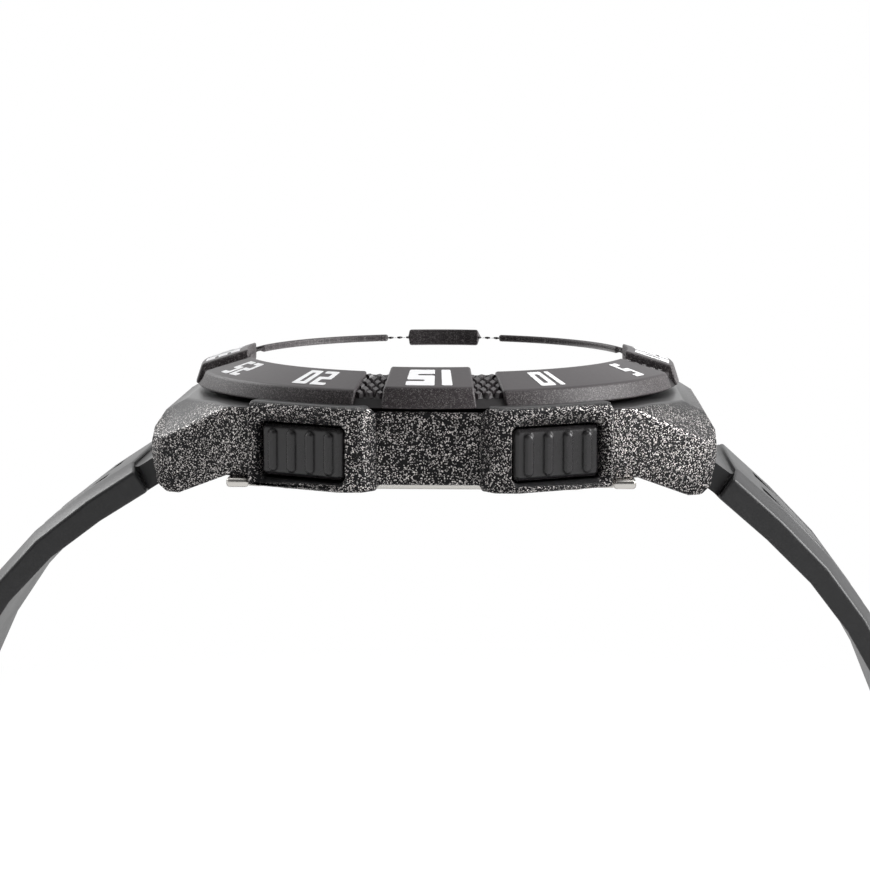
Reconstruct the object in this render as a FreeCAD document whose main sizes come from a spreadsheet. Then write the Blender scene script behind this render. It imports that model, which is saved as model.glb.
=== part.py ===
import FreeCAD, Part
import Sketcher
import math
import os

# Ana-digi sports watch with a resin case, four pushers and a two-part resin strap.
# Millimetres. X points to 3 o'clock, Y to 12 o'clock and Z out of the dial.
# The origin is the centre of the steel case back's outer face.

doc = FreeCAD.newDocument("ana_digi_watch")
sheet = doc.addObject("Spreadsheet::Sheet", "Sizes")


# Sizes: numbers that live in the sheet and the expressions worked out from them

class Size:
    """A number from the sheet, or worked out from such numbers, with the expression that keeps it live."""

    def __init__(self, value, text):
        self.value = value
        self.text = text

    def __add__(self, other):
        other = as_size(other)
        return Size(self.value + other.value, f"({self.text} + {other.text})")

    def __sub__(self, other):
        other = as_size(other)
        return Size(self.value - other.value, f"({self.text} - {other.text})")

    def __mul__(self, other):
        other = as_size(other)
        return Size(self.value * other.value, f"({self.text} * {other.text})")

    def __truediv__(self, other):
        other = as_size(other)
        return Size(self.value / other.value, f"({self.text} / {other.text})")

    def __radd__(self, other):
        return as_size(other) + self

    def __rsub__(self, other):
        return as_size(other) - self

    def __rmul__(self, other):
        return as_size(other) * self

    def __neg__(self):
        return Size(-self.value, f"(0 - {self.text})")


def as_size(number):
    return number if isinstance(number, Size) else Size(float(number), repr(float(number)))


def sine(angle):
    return Size(math.sin(math.radians(angle.value)), f"sin({angle.text})")


def cosine(angle):
    return Size(math.cos(math.radians(angle.value)), f"cos({angle.text})")


rows = 0


def size(name, value):
    """Writes one driving dimension into the sheet and returns it."""
    global rows
    rows += 1
    sheet.set(f"A{rows}", name)
    sheet.set(f"B{rows}", str(value))
    sheet.setAlias(f"B{rows}", name)
    return Size(float(value), f"Sizes.{name}")


def bind(thing, path, number):
    thing.setExpression(path, as_size(number).text)


# Case
case_half_width = size("case_half_width", 21.5)
case_half_length = size("case_half_length", 25.45)
lug_end_half_width = size("lug_end_half_width", 11.6)
lug_corner_x = size("lug_corner_x", 13.3)
lug_corner_y = size("lug_corner_y", 24.3)
shoulder_x = size("shoulder_x", 18.7)
shoulder_y = size("shoulder_y", 16.2)
waist_y = size("waist_y", 8.0)
back_reach_y = size("back_reach_y", 18.2)
deck_height = size("deck_height", 7.35)
deck_break_y = size("deck_break_y", 19.4)
lug_tip_drop = size("lug_tip_drop", 1.15)
back_thickness = size("back_thickness", 0.95)
cavity_radius = size("cavity_radius", 17.3)
crystal_shelf_height = size("crystal_shelf_height", 8.2)
collar_height = size("collar_height", 8.95)
collar_radius = size("collar_radius", 19.6)
upper_facet_azimuth = size("upper_facet_azimuth", 59.0)
upper_facet_tilt = size("upper_facet_tilt", 45.6)
upper_facet_height = size("upper_facet_height", 3.8)
lower_facet_azimuth = size("lower_facet_azimuth", 26.6)
lower_facet_tilt = size("lower_facet_tilt", 111.2)
lower_facet_height = size("lower_facet_height", 0.8)

# Strap seat between the lugs
bar_y = size("bar_y", 21.9)
bar_height = size("bar_height", 3.0)
bar_radius = size("bar_radius", 0.75)
bar_tip_radius = size("bar_tip_radius", 0.45)
bar_tip_length = size("bar_tip_length", 1.1)
bar_clearance = size("bar_clearance", 0.05)
neck_half_width = size("neck_half_width", 9.1)
neck_side_gap = size("neck_side_gap", 0.3)
barrel_radius = size("barrel_radius", 2.05)
barrel_gap = size("barrel_gap", 0.25)

# Bezel and crystal
bezel_radius = size("bezel_radius", 22.75)
bezel_flare = size("bezel_flare", 0.6)
bezel_top_radius = bezel_radius - bezel_flare
bezel_inner_radius = size("bezel_inner_radius", 17.85)
bezel_foot_share = size("bezel_foot_share", 0.6)
bezel_bottom = size("bezel_bottom", 7.75)
bezel_fit = size("bezel_fit", 0.1)
arc_inner_height = size("arc_inner_height", 10.45)
arc_outer_height = size("arc_outer_height", 9.2)
block_inner_height = size("block_inner_height", 10.9)
block_outer_height = size("block_outer_height", 9.55)
block_bevel = size("block_bevel", 0.45)
block_angle = size("block_angle", 20.0)
land_angle = size("land_angle", 5.6)
land_drop = size("land_drop", 0.35)
crystal_radius = size("crystal_radius", 18.35)
crystal_top = size("crystal_top", 10.05)
crystal_edge = size("crystal_edge", 0.7)
gasket_wall = size("gasket_wall", 0.55)

# Pusher guards and pushers
guard_angle = size("guard_angle", 27.5)
guard_face = size("guard_face", 24.45)
guard_half_width = size("guard_half_width", 5.3)
guard_depth = size("guard_depth", 5.0)
guard_top = size("guard_top", 8.0)
guard_bottom = size("guard_bottom", 0.5)
guard_bevel = size("guard_bevel", 0.55)
guard_foot_bevel = size("guard_foot_bevel", 0.35)
window_bevel = size("window_bevel", 0.38)
window_depth = size("window_depth", 0.6)
window_slope = size("window_slope", 1.15)
window_corner = size("window_corner", 0.4)
window_end = size("window_end", 1.1)
pillar_x = size("pillar_x", 23.45)
pillar_y = size("pillar_y", 5.6)
recess_half_length = size("recess_half_length", 4.5)
pillar_foot_x = size("pillar_foot_x", 22.3)
pusher_height = size("pusher_height", 3.8)
cap_half_width = size("cap_half_width", 4.15)
cap_half_height = size("cap_half_height", 2.25)
cap_corner = size("cap_corner", 0.32)
cap_gap = size("cap_gap", 0.22)
cap_face = size("cap_face", 24.0)
cap_thickness = size("cap_thickness", 1.7)
cap_bevel = size("cap_bevel", 0.35)
pocket_floor = size("pocket_floor", 20.9)
rib_pitch = size("rib_pitch", 1.9)
rib_width = size("rib_width", 0.9)
rib_length = size("rib_length", 3.7)
rib_rise = size("rib_rise", 0.35)
rib_count = size("rib_count", 4)
stem_radius = size("stem_radius", 0.8)
stem_clearance = size("stem_clearance", 0.05)
stem_tip = size("stem_tip", 16.5)
spring_well_radius = size("spring_well_radius", 1.9)
spring_well_depth = size("spring_well_depth", 0.9)
spring_wire_radius = size("spring_wire_radius", 0.17)
spring_mean_radius = size("spring_mean_radius", 1.35)
spring_turns = size("spring_turns", 3)
clip_radius = size("clip_radius", 1.5)
clip_thickness = size("clip_thickness", 0.3)
clip_gap = size("clip_gap", 0.2)
seal_groove_radius = size("seal_groove_radius", 0.5)
seal_wire_radius = size("seal_wire_radius", 0.165)
seal_place = size("seal_place", 18.9)

# Case back
back_half_width = size("back_half_width", 17.9)
back_corner = size("back_corner", 5.2)
back_gap = size("back_gap", 0.08)
screw_offset = size("screw_offset", 15.4)
screw_head_radius = size("screw_head_radius", 1.2)
screw_head_height = size("screw_head_height", 0.5)
screw_radius = size("screw_radius", 0.6)
screw_length = size("screw_length", 3.6)
screw_gap = size("screw_gap", 0.1)
back_seal_radius = size("back_seal_radius", 17.05)
back_seal_wire = size("back_seal_wire", 0.32)
seal_gap = size("seal_gap", 0.03)
flange_radius = size("flange_radius", 16.2)
flange_height = size("flange_height", 2.0)

# Module
housing_radius = size("housing_radius", 15.2)
housing_bottom = size("housing_bottom", 1.3)
housing_floor = size("housing_floor", 3.9)
board_bottom = size("board_bottom", 4.2)
board_thickness = size("board_thickness", 0.4)
dial_bottom = size("dial_bottom", 6.3)
dial_thickness = size("dial_thickness", 0.4)
dial_radius = size("dial_radius", 17.2)
module_wall = size("module_wall", 1.3)
battery_radius = size("battery_radius", 10.0)
battery_thickness = size("battery_thickness", 2.5)
battery_x = size("battery_x", -2.0)
battery_gap = size("battery_gap", 0.15)
battery_cap = size("battery_cap", 0.3)
battery_rim = size("battery_rim", 0.7)
clamp_width = size("clamp_width", 5.0)
clamp_thickness = size("clamp_thickness", 0.2)
buzzer_radius = size("buzzer_radius", 6.5)
buzzer_thickness = size("buzzer_thickness", 0.15)
lcd_y = size("lcd_y", -8.4)
lcd_width = size("lcd_width", 15.0)
lcd_height = size("lcd_height", 6.2)
lcd_thickness = size("lcd_thickness", 1.1)
window_margin = size("window_margin", 0.6)
connector_width = size("connector_width", 1.2)
coil_x = size("coil_x", -8.4)
coil_y = size("coil_y", 2.6)
coil_radius = size("coil_radius", 0.6)
coil_length = size("coil_length", 5.6)
coil_core = size("coil_core", 0.35)
stator_length = size("stator_length", 7.6)
stator_width = size("stator_width", 4.2)
stator_thickness = size("stator_thickness", 0.4)

# Motion work and hands
gear_distance = size("gear_distance", 3.2)
cannon_teeth = size("cannon_teeth", 10)
minute_wheel_teeth = size("minute_wheel_teeth", 30)
minute_pinion_teeth = size("minute_pinion_teeth", 10)
hour_wheel_teeth = size("hour_wheel_teeth", 40)
gear_thickness = size("gear_thickness", 0.3)
gear_gap = size("gear_gap", 0.12)
post_radius = size("post_radius", 0.3)
pivot_clearance = size("pivot_clearance", 0.03)
cannon_pipe_radius = size("cannon_pipe_radius", 0.55)
hour_pipe_radius = size("hour_pipe_radius", 0.9)
train_plate_thickness = size("train_plate_thickness", 0.25)
bridge_thickness = size("bridge_thickness", 0.15)
hour_hand_length = size("hour_hand_length", 8.6)
hour_hand_width = size("hour_hand_width", 2.2)
minute_hand_length = size("minute_hand_length", 12.8)
minute_hand_width = size("minute_hand_width", 1.7)
hand_tail = size("hand_tail", 3.0)
hand_thickness = size("hand_thickness", 0.15)
hand_gap = size("hand_gap", 0.3)
hub_radius = size("hub_radius", 1.3)
rest_minutes = size("rest_minutes", 9)
rest_hours = size("rest_hours", 10)
chapter_inner_radius = size("chapter_inner_radius", 15.3)
chapter_foot_radius = size("chapter_foot_radius", 14.9)
marker_radius = size("marker_radius", 13.6)
marker_length = size("marker_length", 2.0)
marker_width = size("marker_width", 0.9)
marker_thickness = size("marker_thickness", 0.22)

# Strap
strap_thickness = size("strap_thickness", 3.0)
strap_end_thickness = size("strap_end_thickness", 2.4)
strap_half_width = size("strap_half_width", 10.8)
strap_end_half_width = size("strap_end_half_width", 9.0)
strap_taper_end = size("strap_taper_end", 41.0)
strap_section_step = size("strap_section_step", 6.0)
strap_start = size("strap_start", 5.9)
strap_bevel_width = size("strap_bevel_width", 2.4)
strap_bevel_drop = size("strap_bevel_drop", 0.75)
neck_thickness = size("neck_thickness", 2.3)
recess_start = size("recess_start", 9.4)
recess_length = size("recess_length", 15.0)
recess_width = size("recess_width", 3.0)
recess_offset = size("recess_offset", 4.4)
recess_depth = size("recess_depth", 0.8)
long_slope = size("long_slope", 32.6)
long_straight = size("long_straight", 11.2)
long_bend_radius = size("long_bend_radius", 36.0)
long_bend_end = size("long_bend_end", 100.0)
long_curl_radius = size("long_curl_radius", 25.0)
long_tail = size("long_tail", 28.5)
hole_first = size("hole_first", 50.0)
hole_pitch = size("hole_pitch", 6.0)
hole_count = size("hole_count", 10)
hole_width = size("hole_width", 2.2)
hole_length = size("hole_length", 3.4)
tip_length = size("tip_length", 7.0)
tip_half_width = size("tip_half_width", 3.6)
short_neck_slope = size("short_neck_slope", 36.5)
short_slope = size("short_slope", 41.5)
short_straight = size("short_straight", 6.1)
short_bend_radius = size("short_bend_radius", 44.0)
short_bend_end = size("short_bend_end", 80.0)
keeper_run = size("keeper_run", 14.27)
short_curl_radius = size("short_curl_radius", 13.4)
short_curl_end = size("short_curl_end", 168.0)
short_tail = size("short_tail", 2.5)

# Buckle and keeper
buckle_barrel_radius = size("buckle_barrel_radius", 1.6)
buckle_bar_radius = size("buckle_bar_radius", 0.6)
buckle_side_gap = size("buckle_side_gap", 0.35)
buckle_ear = size("buckle_ear", 2.2)
buckle_ear_length = size("buckle_ear_length", 3.0)
buckle_bevel = size("buckle_bevel", 0.4)
buckle_length = size("buckle_length", 14.4)
buckle_front = size("buckle_front", 2.4)
buckle_thickness = size("buckle_thickness", 2.2)
buckle_corner = size("buckle_corner", 3.0)
tongue_width = size("tongue_width", 1.8)
tongue_thickness = size("tongue_thickness", 0.9)
tongue_slot_gap = size("tongue_slot_gap", 0.4)
tongue_slot_length = size("tongue_slot_length", 4.2)
tongue_rest_gap = size("tongue_rest_gap", 0.06)
keeper_gap = size("keeper_gap", 0.2)
keeper_wall = size("keeper_wall", 1.3)
keeper_length = size("keeper_length", 7.0)
keeper_room = size("keeper_room", 2.8)


# Sides of the round forms that no joint turns on: seen, hidden inside, and small
round_sides = 72
hidden_sides = 36
small_sides = 8


# Building blocks

def new_body(label):
    body = doc.addObject("PartDesign::Body", label)
    body.Label = label
    return body


def origin_feature(body, role):
    for feature in body.Origin.OriginFeatures:
        if feature.Role == role:
            return feature


def sketch_on(body, role, offset=0.0, turn=None):
    """A sketch on an origin plane of its own body, moved along the plane's normal and turned about Z."""
    sketch = body.newObject("Sketcher::SketchObject", f"{body.Name}_sketch")
    sketch.AttachmentSupport = [(origin_feature(body, role), "")]
    sketch.MapMode = "FlatFace"
    if turn is not None:
        spin = FreeCAD.Vector(0, 0, 1) if role == "XY_Plane" else FreeCAD.Vector(0, 1, 0)
        sketch.AttachmentOffset = FreeCAD.Placement(FreeCAD.Vector(), FreeCAD.Rotation(spin, turn.value))
        bind(sketch, "AttachmentOffset.Rotation.Angle", turn)
        if role != "XY_Plane":
            normal_x = sine(turn)
            normal_z = cosine(turn)
            bind(sketch, "AttachmentOffset.Base.x", as_size(offset) * normal_x)
            bind(sketch, "AttachmentOffset.Base.z", as_size(offset) * normal_z)
            return sketch
    bind(sketch, "AttachmentOffset.Base.z", offset)
    return sketch


def hold_point(sketch, geometry, position, place):
    """Holds a point at its two distances from the sketch's origin, each bound to its expression."""
    for kind, number in zip(("DistanceX", "DistanceY"), place):
        number = as_size(number)
        index = sketch.addConstraint(
            Sketcher.Constraint(kind, -1, 1, geometry, position, number.value))
        sketch.setExpression(f"Constraints[{index}]", number.text)


def draw_loop(sketch, points):
    """Closes straight lines through points, each point given by two sizes."""
    first = sketch.GeometryCount
    corners = [FreeCAD.Vector(as_size(x).value, as_size(y).value, 0) for x, y in points]
    for index, corner in enumerate(corners):
        sketch.addGeometry(Part.LineSegment(corner, corners[(index + 1) % len(corners)]))
    for index in range(len(corners)):
        following = first + (index + 1) % len(corners)
        sketch.addConstraint(Sketcher.Constraint("Coincident", first + index, 2, following, 1))
    for index, place in enumerate(points):
        hold_point(sketch, first + index, 1, place)


def draw_circle(sketch, radius, x=0.0, y=0.0):
    radius = as_size(radius)
    centre = FreeCAD.Vector(as_size(x).value, as_size(y).value, 0)
    index = sketch.addGeometry(Part.Circle(centre, FreeCAD.Vector(0, 0, 1), radius.value))
    hold_point(sketch, index, 3, (x, y))
    held = sketch.addConstraint(Sketcher.Constraint("Radius", index, radius.value))
    sketch.setExpression(f"Constraints[{held}]", radius.text)


def sided_points(radius, sides, x=0.0, y=0.0):
    """The corners of a hidden round form that is drawn with few sides."""
    angles = [as_size(360.0 * index / sides) for index in range(sides)]
    return [(x + radius * cosine(angle), y + radius * sine(angle)) for angle in angles]


def around(radius, sides):
    """The corner radius of a sided hole whose flats stand clear of a round form."""
    return radius / math.cos(math.pi / sides)


def box_points(half_width, half_height, x=0.0, y=0.0):
    """The corners of a rectangle about a point."""
    return [(x - half_width, y - half_height), (x + half_width, y - half_height),
            (x + half_width, y + half_height), (x - half_width, y + half_height)]


def clipped_points(half_width, half_height, clip, x=0.0, y=0.0):
    """The corners of a rectangle whose four corners are cut at 45 degrees."""
    points = []
    for side_x, side_y in ((1, -1), (1, 1), (-1, 1), (-1, -1)):
        outer = (x + side_x * half_width, y + side_y * (half_height - clip))
        inner = (x + side_x * (half_width - clip), y + side_y * half_height)
        points += [inner, outer] if side_x * side_y < 0 else [outer, inner]
    return points


def pad(body, sketch, length):
    feature = body.newObject("PartDesign::Pad", f"{body.Name}_pad")
    feature.Profile = sketch
    bind(feature, "Length", length)
    body.Tip = feature
    return feature


def pocket(body, sketch, depth, along_normal=False):
    feature = body.newObject("PartDesign::Pocket", f"{body.Name}_pocket")
    feature.Profile = sketch
    feature.Reversed = along_normal
    bind(feature, "Length", depth)
    body.Tip = feature
    return feature


def funnel(body, mouth, throat):
    """Cuts the space between two outlines with the same number of corners."""
    feature = body.newObject("PartDesign::SubtractiveLoft", f"{body.Name}_funnel")
    feature.Profile = mouth
    feature.Sections = [throat]
    feature.Ruled = True
    body.Tip = feature
    return feature


def revolve(body, sketch, angle=360.0, kind="Revolution"):
    feature = body.newObject(f"PartDesign::{kind}", f"{body.Name}_{kind.lower()}")
    feature.Profile = sketch
    feature.ReferenceAxis = (sketch, ["V_Axis"])
    bind(feature, "Angle", angle)
    body.Tip = feature
    return feature


def around_z(body, features, count):
    pattern = body.newObject("PartDesign::PolarPattern", f"{body.Name}_pattern")
    pattern.Originals = features
    pattern.Axis = (origin_feature(body, "Z_Axis"), [""])
    pattern.Angle = 360
    bind(pattern, "Occurrences", count)
    body.Tip = pattern
    return pattern


def bevel(body, chosen, width, kind="Chamfer"):
    """Chamfers or fillets the edges of the body's last feature that a test chooses."""
    doc.recompute()
    base = body.Tip
    names = [f"Edge{index + 1}" for index, edge in enumerate(base.Shape.Edges) if chosen(edge)]
    if not names:
        raise ValueError(f"{body.Label}: no edge to {kind}")
    feature = body.newObject(f"PartDesign::{kind}", f"{body.Name}_{kind.lower()}")
    feature.Base = (base, names)
    bind(feature, "Size" if kind == "Chamfer" else "Radius", width)
    body.Tip = feature
    return feature


def faceted(label, sides, points):
    """A disc or ring turned from an outline of radii and heights, with flat facets between its corners."""
    outline = [(as_size(radius).value, as_size(height).value) for radius, height in points]
    loops = []
    for radius, height in outline:
        angles = [2 * math.pi * index / sides for index in range(sides)]
        loops.append([FreeCAD.Vector(radius * math.cos(angle), radius * math.sin(angle), height)
                      for angle in angles])
    faces = []
    for index, loop in enumerate(loops):
        following = loops[(index + 1) % len(loops)]
        radii = (outline[index][0], outline[(index + 1) % len(loops)][0])
        if max(radii) == 0.0:
            continue
        if min(radii) == 0.0:
            rim = loop if radii[0] else following
            faces.append(Part.Face(Part.makePolygon(rim + rim[:1])))
            continue
        for side in range(sides):
            after = (side + 1) % sides
            corners = [loop[side], loop[after], following[after], following[side], loop[side]]
            faces.append(Part.Face(Part.makePolygon(corners)))
    shape = Part.Solid(Part.makeShell(faces))
    if shape.Volume < 0:
        shape.reverse()
    return shape_part(label, shape)


def sided_disc(radius, sides, bottom, top, x=0.0):
    """A flat disc with few sides."""
    corners = [FreeCAD.Vector(px.value, py.value, bottom.value)
               for px, py in sided_points(as_size(radius), sides, as_size(x))]
    face = Part.Face(Part.makePolygon(corners + corners[:1]))
    return face.extrude(FreeCAD.Vector(0, 0, (top - bottom).value))


def ends(edge):
    return [vertex.Point for vertex in edge.Vertexes]


def near(a, b):
    return abs(a - b) < 1e-4


def guard_point(radial, across):
    """A point of the sheet's first quadrant from its distances along and across the pusher's axis."""
    return (radial * cosine(guard_angle) - across * sine(guard_angle),
            radial * sine(guard_angle) + across * cosine(guard_angle))


def mirrored(points):
    """One half of an outline, from the bottom up, and its mirror image."""
    return list(points) + [(-x, y) for x, y in reversed(points)]


def four_ways(points):
    """Repeats points of the first quadrant round all four, as one loop."""
    loop = list(points)
    loop += [(-x, y) for x, y in reversed(points)]
    loop += [(-x, -y) for x, y in points]
    loop += [(x, -y) for x, y in reversed(points)]
    return loop


def shave(body, quadrant, azimuth, tilt, height):
    """Cuts a lug with a plane through its corner, whose normal has an azimuth and a tilt from upright."""
    side_x = (1, -1, -1, 1)[quadrant]
    side_y = (1, 1, -1, -1)[quadrant]
    sketch = body.newObject("Sketcher::SketchObject", f"{body.Name}_facet")
    sketch.AttachmentSupport = [(origin_feature(body, "XY_Plane"), "")]
    sketch.MapMode = "FlatFace"
    axis_x = -side_y * sine(azimuth)
    axis_y = side_x * cosine(azimuth)
    place = (side_x * lug_corner_x, side_y * lug_corner_y, height)
    sketch.AttachmentOffset = FreeCAD.Placement(
        FreeCAD.Vector(*(number.value for number in place)),
        FreeCAD.Rotation(FreeCAD.Vector(axis_x.value, axis_y.value, 0), tilt.value))
    for path, number in zip(("Base.x", "Base.y", "Base.z", "Rotation.Axis.x", "Rotation.Axis.y",
                             "Rotation.Angle"), (*place, axis_x, axis_y, tilt)):
        bind(sketch, f"AttachmentOffset.{path}", number)
    draw_loop(sketch, box_points(case_half_length, case_half_length))
    pocket(body, sketch, case_half_length, along_normal=True)


# Case body: deck, hooded lugs, pusher guards and the module cavity

def make_case_body():
    body = new_body("case_body")
    plan = sketch_on(body, "XY_Plane", -lug_tip_drop)
    draw_loop(plan, four_ways([
        (case_half_width, waist_y), (shoulder_x, shoulder_y),
        (lug_corner_x, lug_corner_y), (lug_end_half_width, case_half_length)]))
    pad(body, plan, deck_height + lug_tip_drop)

    # The deck falls to the lug ends in three steps, and the underside rises from the lug tips to the back.
    overrun = 3.0
    above = deck_height + overrun
    below = -lug_tip_drop - overrun
    outside = case_half_length + overrun
    lug_top = [(deck_break_y, deck_height), (bar_y + 0.5, deck_height - 0.25),
               (case_half_length - 0.95, deck_height - 1.45), (case_half_length, bar_height + 1.4),
               (outside, bar_height + 1.4), (outside, above), (deck_break_y, above)]
    lug_end = [(case_half_length, bar_height - 0.8), (case_half_length - 0.55, -lug_tip_drop + 0.85),
               (case_half_length - 1.4, -lug_tip_drop), (case_half_length - 1.4, below),
               (outside, below), (outside, bar_height - 0.8)]
    section = sketch_on(body, "YZ_Plane", case_half_width)
    for side in (1, -1):
        draw_loop(section, [(side * y, z) for y, z in lug_top])
        draw_loop(section, [(side * y, z) for y, z in lug_end])
    underside = [(back_reach_y, back_thickness), (bar_y + 1.0, -lug_tip_drop), (bar_y + 1.0, below)]
    draw_loop(section, underside + [(-y, z) for y, z in reversed(underside)])
    pocket(body, section, case_half_width * 2)

    # Each lug's side has a long facet above, down to its corner, and one below that leans inwards.
    for quadrant in range(4):
        shave(body, quadrant, upper_facet_azimuth, upper_facet_tilt, upper_facet_height)
        shave(body, quadrant, lower_facet_azimuth, lower_facet_tilt, lower_facet_height)

    # Guards: one block for each pusher, faced square to its axis and cut off by the pillar's flat.
    radial = guard_face
    across = (guard_face * cosine(guard_angle) - pillar_x) / sine(guard_angle)
    meeting = (pillar_x, guard_face * sine(guard_angle) + across * cosine(guard_angle))
    root = guard_face - guard_depth
    guard_plan = [(cavity_radius + 1.0, recess_half_length), (pillar_foot_x, recess_half_length),
                  (pillar_x, pillar_y), meeting, guard_point(radial, guard_half_width),
                  guard_point(root, guard_half_width)]
    guard = sketch_on(body, "XY_Plane", guard_bottom)
    for side_x in (1, -1):
        for side_y in (1, -1):
            draw_loop(guard, [(side_x * x, side_y * y) for x, y in guard_plan])
    pad(body, guard, guard_top - guard_bottom)

    def guard_rim(edge, height):
        """True for the outer edges of a guard's face at a height."""
        points = ends(edge)
        if len(points) != 2:
            return False
        corners = [guard_point(radial, guard_half_width), meeting, (pillar_x, pillar_y),
                   (pillar_foot_x, recess_half_length)]
        flat = [(x.value, y.value) for x, y in corners]
        hits = []
        for point in points:
            hits += [x for x, y in flat if near(abs(point.x), x) and near(abs(point.y), y)]
        return len(hits) == 2 and all(near(point.z, height.value) for point in points)

    bevel(body, lambda edge: guard_rim(edge, guard_top), guard_bevel)
    bevel(body, lambda edge: guard_rim(edge, guard_bottom), guard_foot_bevel)

    # The collar stands inside the bezel; the deck is turned down under the bezel.
    seat = sketch_on(body, "XY_Plane", deck_height)
    draw_circle(seat, bezel_radius + 0.2)
    pocket(body, seat, guard_top, along_normal=True)
    collar = sketch_on(body, "XY_Plane", deck_height)
    draw_circle(collar, collar_radius)
    pad(body, collar, collar_height - deck_height)
    cavity = sketch_on(body, "XY_Plane", crystal_shelf_height)
    draw_loop(cavity, sided_points(around(cavity_radius, hidden_sides), hidden_sides))
    pocket(body, cavity, crystal_shelf_height - flange_height)
    flange = sketch_on(body, "XY_Plane", flange_height)
    draw_loop(flange, sided_points(around(flange_radius, hidden_sides), hidden_sides))
    pocket(body, flange, flange_height + lug_tip_drop + overrun)
    crystal_seat = sketch_on(body, "XY_Plane", crystal_shelf_height)
    draw_circle(crystal_seat, crystal_radius + gasket_wall)
    pocket(body, crystal_seat, collar_height, along_normal=True)

    # Pusher pockets, spring wells and stem bores, on the four pusher axes.
    half_width = cap_half_width + cap_gap
    top = pusher_height + cap_half_height + cap_gap
    foot = pusher_height - cap_half_height - cap_gap
    rim_top = top + window_slope
    window = mirrored([(half_width - window_corner, foot), (half_width, foot + window_corner),
                       (half_width, top - window_corner), (half_width - window_corner, top),
                       (half_width - window_end, top)])
    wide = half_width + window_bevel
    mouth = mirrored([(wide - window_corner, foot - window_bevel),
                      (wide, foot - window_bevel + window_corner), (wide, top - window_corner / 2),
                      (wide - window_corner / 2, top + window_slope / 2), (half_width - window_end, rim_top)])
    for quadrant in range(4):
        turn = pusher_turn(quadrant)
        opening = sketch_on(body, "XZ_Plane", guard_face + overrun, turn)
        draw_loop(opening, window)
        pocket(body, opening, guard_face + overrun - pocket_floor)
        rim = sketch_on(body, "XZ_Plane", guard_face, turn)
        draw_loop(rim, mouth)
        throat = sketch_on(body, "XZ_Plane", guard_face - window_depth, turn)
        draw_loop(throat, window)
        funnel(body, rim, throat)
        well = sketch_on(body, "XZ_Plane", pocket_floor, turn)
        draw_loop(well, sided_points(around(spring_well_radius, small_sides), small_sides, 0.0, pusher_height))
        pocket(body, well, spring_well_depth)
        bore = sketch_on(body, "XZ_Plane", pocket_floor, turn)
        draw_circle(bore, stem_radius + stem_clearance, 0.0, pusher_height)
        pocket(body, bore, pocket_floor - cavity_radius + 1.0)

    # Strap seats under the hoods, with the holes for the spring bars.
    reach = bar_y - barrel_radius - barrel_gap
    roof = bar_height + barrel_radius + barrel_gap
    seat_half_width = neck_half_width + neck_side_gap
    strap_seat = sketch_on(body, "YZ_Plane", seat_half_width)
    for side in (1, -1):
        draw_loop(strap_seat, [(side * y, z) for y, z in [
            (reach, below), (reach, roof), (bar_y + 0.5, roof), (case_half_length, bar_height + 0.75),
            (outside, bar_height + 0.75), (outside, below)]])
    pocket(body, strap_seat, seat_half_width * 2)
    bar_holes = sketch_on(body, "YZ_Plane", seat_half_width + bar_tip_length)
    for side in (1, -1):
        draw_loop(bar_holes, sided_points(around(bar_tip_radius + bar_clearance, small_sides), small_sides,
                                          side * bar_y, bar_height))
    pocket(body, bar_holes, (seat_half_width + bar_tip_length) * 2)

    # Bed of the back plate, back seal groove and screw holes.
    bed = sketch_on(body, "XY_Plane", back_thickness)
    draw_loop(bed, clipped_points(back_half_width + back_gap, back_half_width + back_gap, back_corner))
    pocket(body, bed, back_thickness + overrun)
    groove = sketch_on(body, "XY_Plane", back_thickness)
    seal_outer = back_seal_radius + back_seal_wire + seal_gap
    draw_loop(groove, sided_points(around(seal_outer, hidden_sides), hidden_sides))
    draw_loop(groove, sided_points(back_seal_radius - back_seal_wire - seal_gap, hidden_sides))
    pocket(body, groove, back_seal_wire * 2, along_normal=True)
    screws = sketch_on(body, "XY_Plane", back_thickness - 1.0)
    for x, y in four_ways([(screw_offset, screw_offset)]):
        draw_loop(screws, sided_points(around(screw_radius + 0.02, small_sides), small_sides, x, y))
    pocket(body, screws, screw_length + 1.0, along_normal=True)
    return body


def pusher_turn(quadrant):
    """The turn about Z that carries the 6 o'clock direction to a pusher's axis: 2, 10, 8 and 4 o'clock."""
    base = (90.0 + guard_angle, 270.0 - guard_angle, 270.0 + guard_angle, 450.0 - guard_angle)
    return base[quadrant]


def make_bezel_ring():
    body = new_body("bezel_ring")
    lip = collar_height + bezel_fit
    bore = collar_radius + bezel_fit
    foot = bore + (bezel_radius - bore) * bezel_foot_share
    base = sketch_on(body, "XZ_Plane")
    draw_loop(base, [
        (bezel_inner_radius, lip), (bezel_inner_radius, arc_inner_height - land_drop),
        (bezel_top_radius - land_drop, arc_outer_height - land_drop),
        (bezel_radius - land_drop, bezel_bottom), (bore, deck_height), (bore, lip)])
    revolve(body, base)
    arc_start = block_angle / 2 + land_angle
    arc = sketch_on(body, "XZ_Plane", 0.0, arc_start)
    draw_loop(arc, [
        (bezel_inner_radius, lip + 0.1), (bezel_inner_radius, arc_inner_height),
        (bezel_top_radius, arc_outer_height), (bezel_radius, bezel_bottom),
        (foot, bezel_bottom), (bore, lip + 0.1)])
    arcs = revolve(body, arc, 90.0 - arc_start * 2)
    around_z(body, [arcs], 4)
    block = sketch_on(body, "XZ_Plane", 0.0, -block_angle / 2)
    draw_loop(block, [
        (bezel_inner_radius, lip + 0.1), (bezel_inner_radius, block_inner_height - block_bevel),
        (bezel_inner_radius + block_bevel, block_inner_height), (bezel_top_radius, block_outer_height),
        (bezel_radius, bezel_bottom), (foot, bezel_bottom), (bore, lip + 0.1)])
    blocks = revolve(body, block, block_angle)
    around_z(body, [blocks], 4)
    return body


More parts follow.
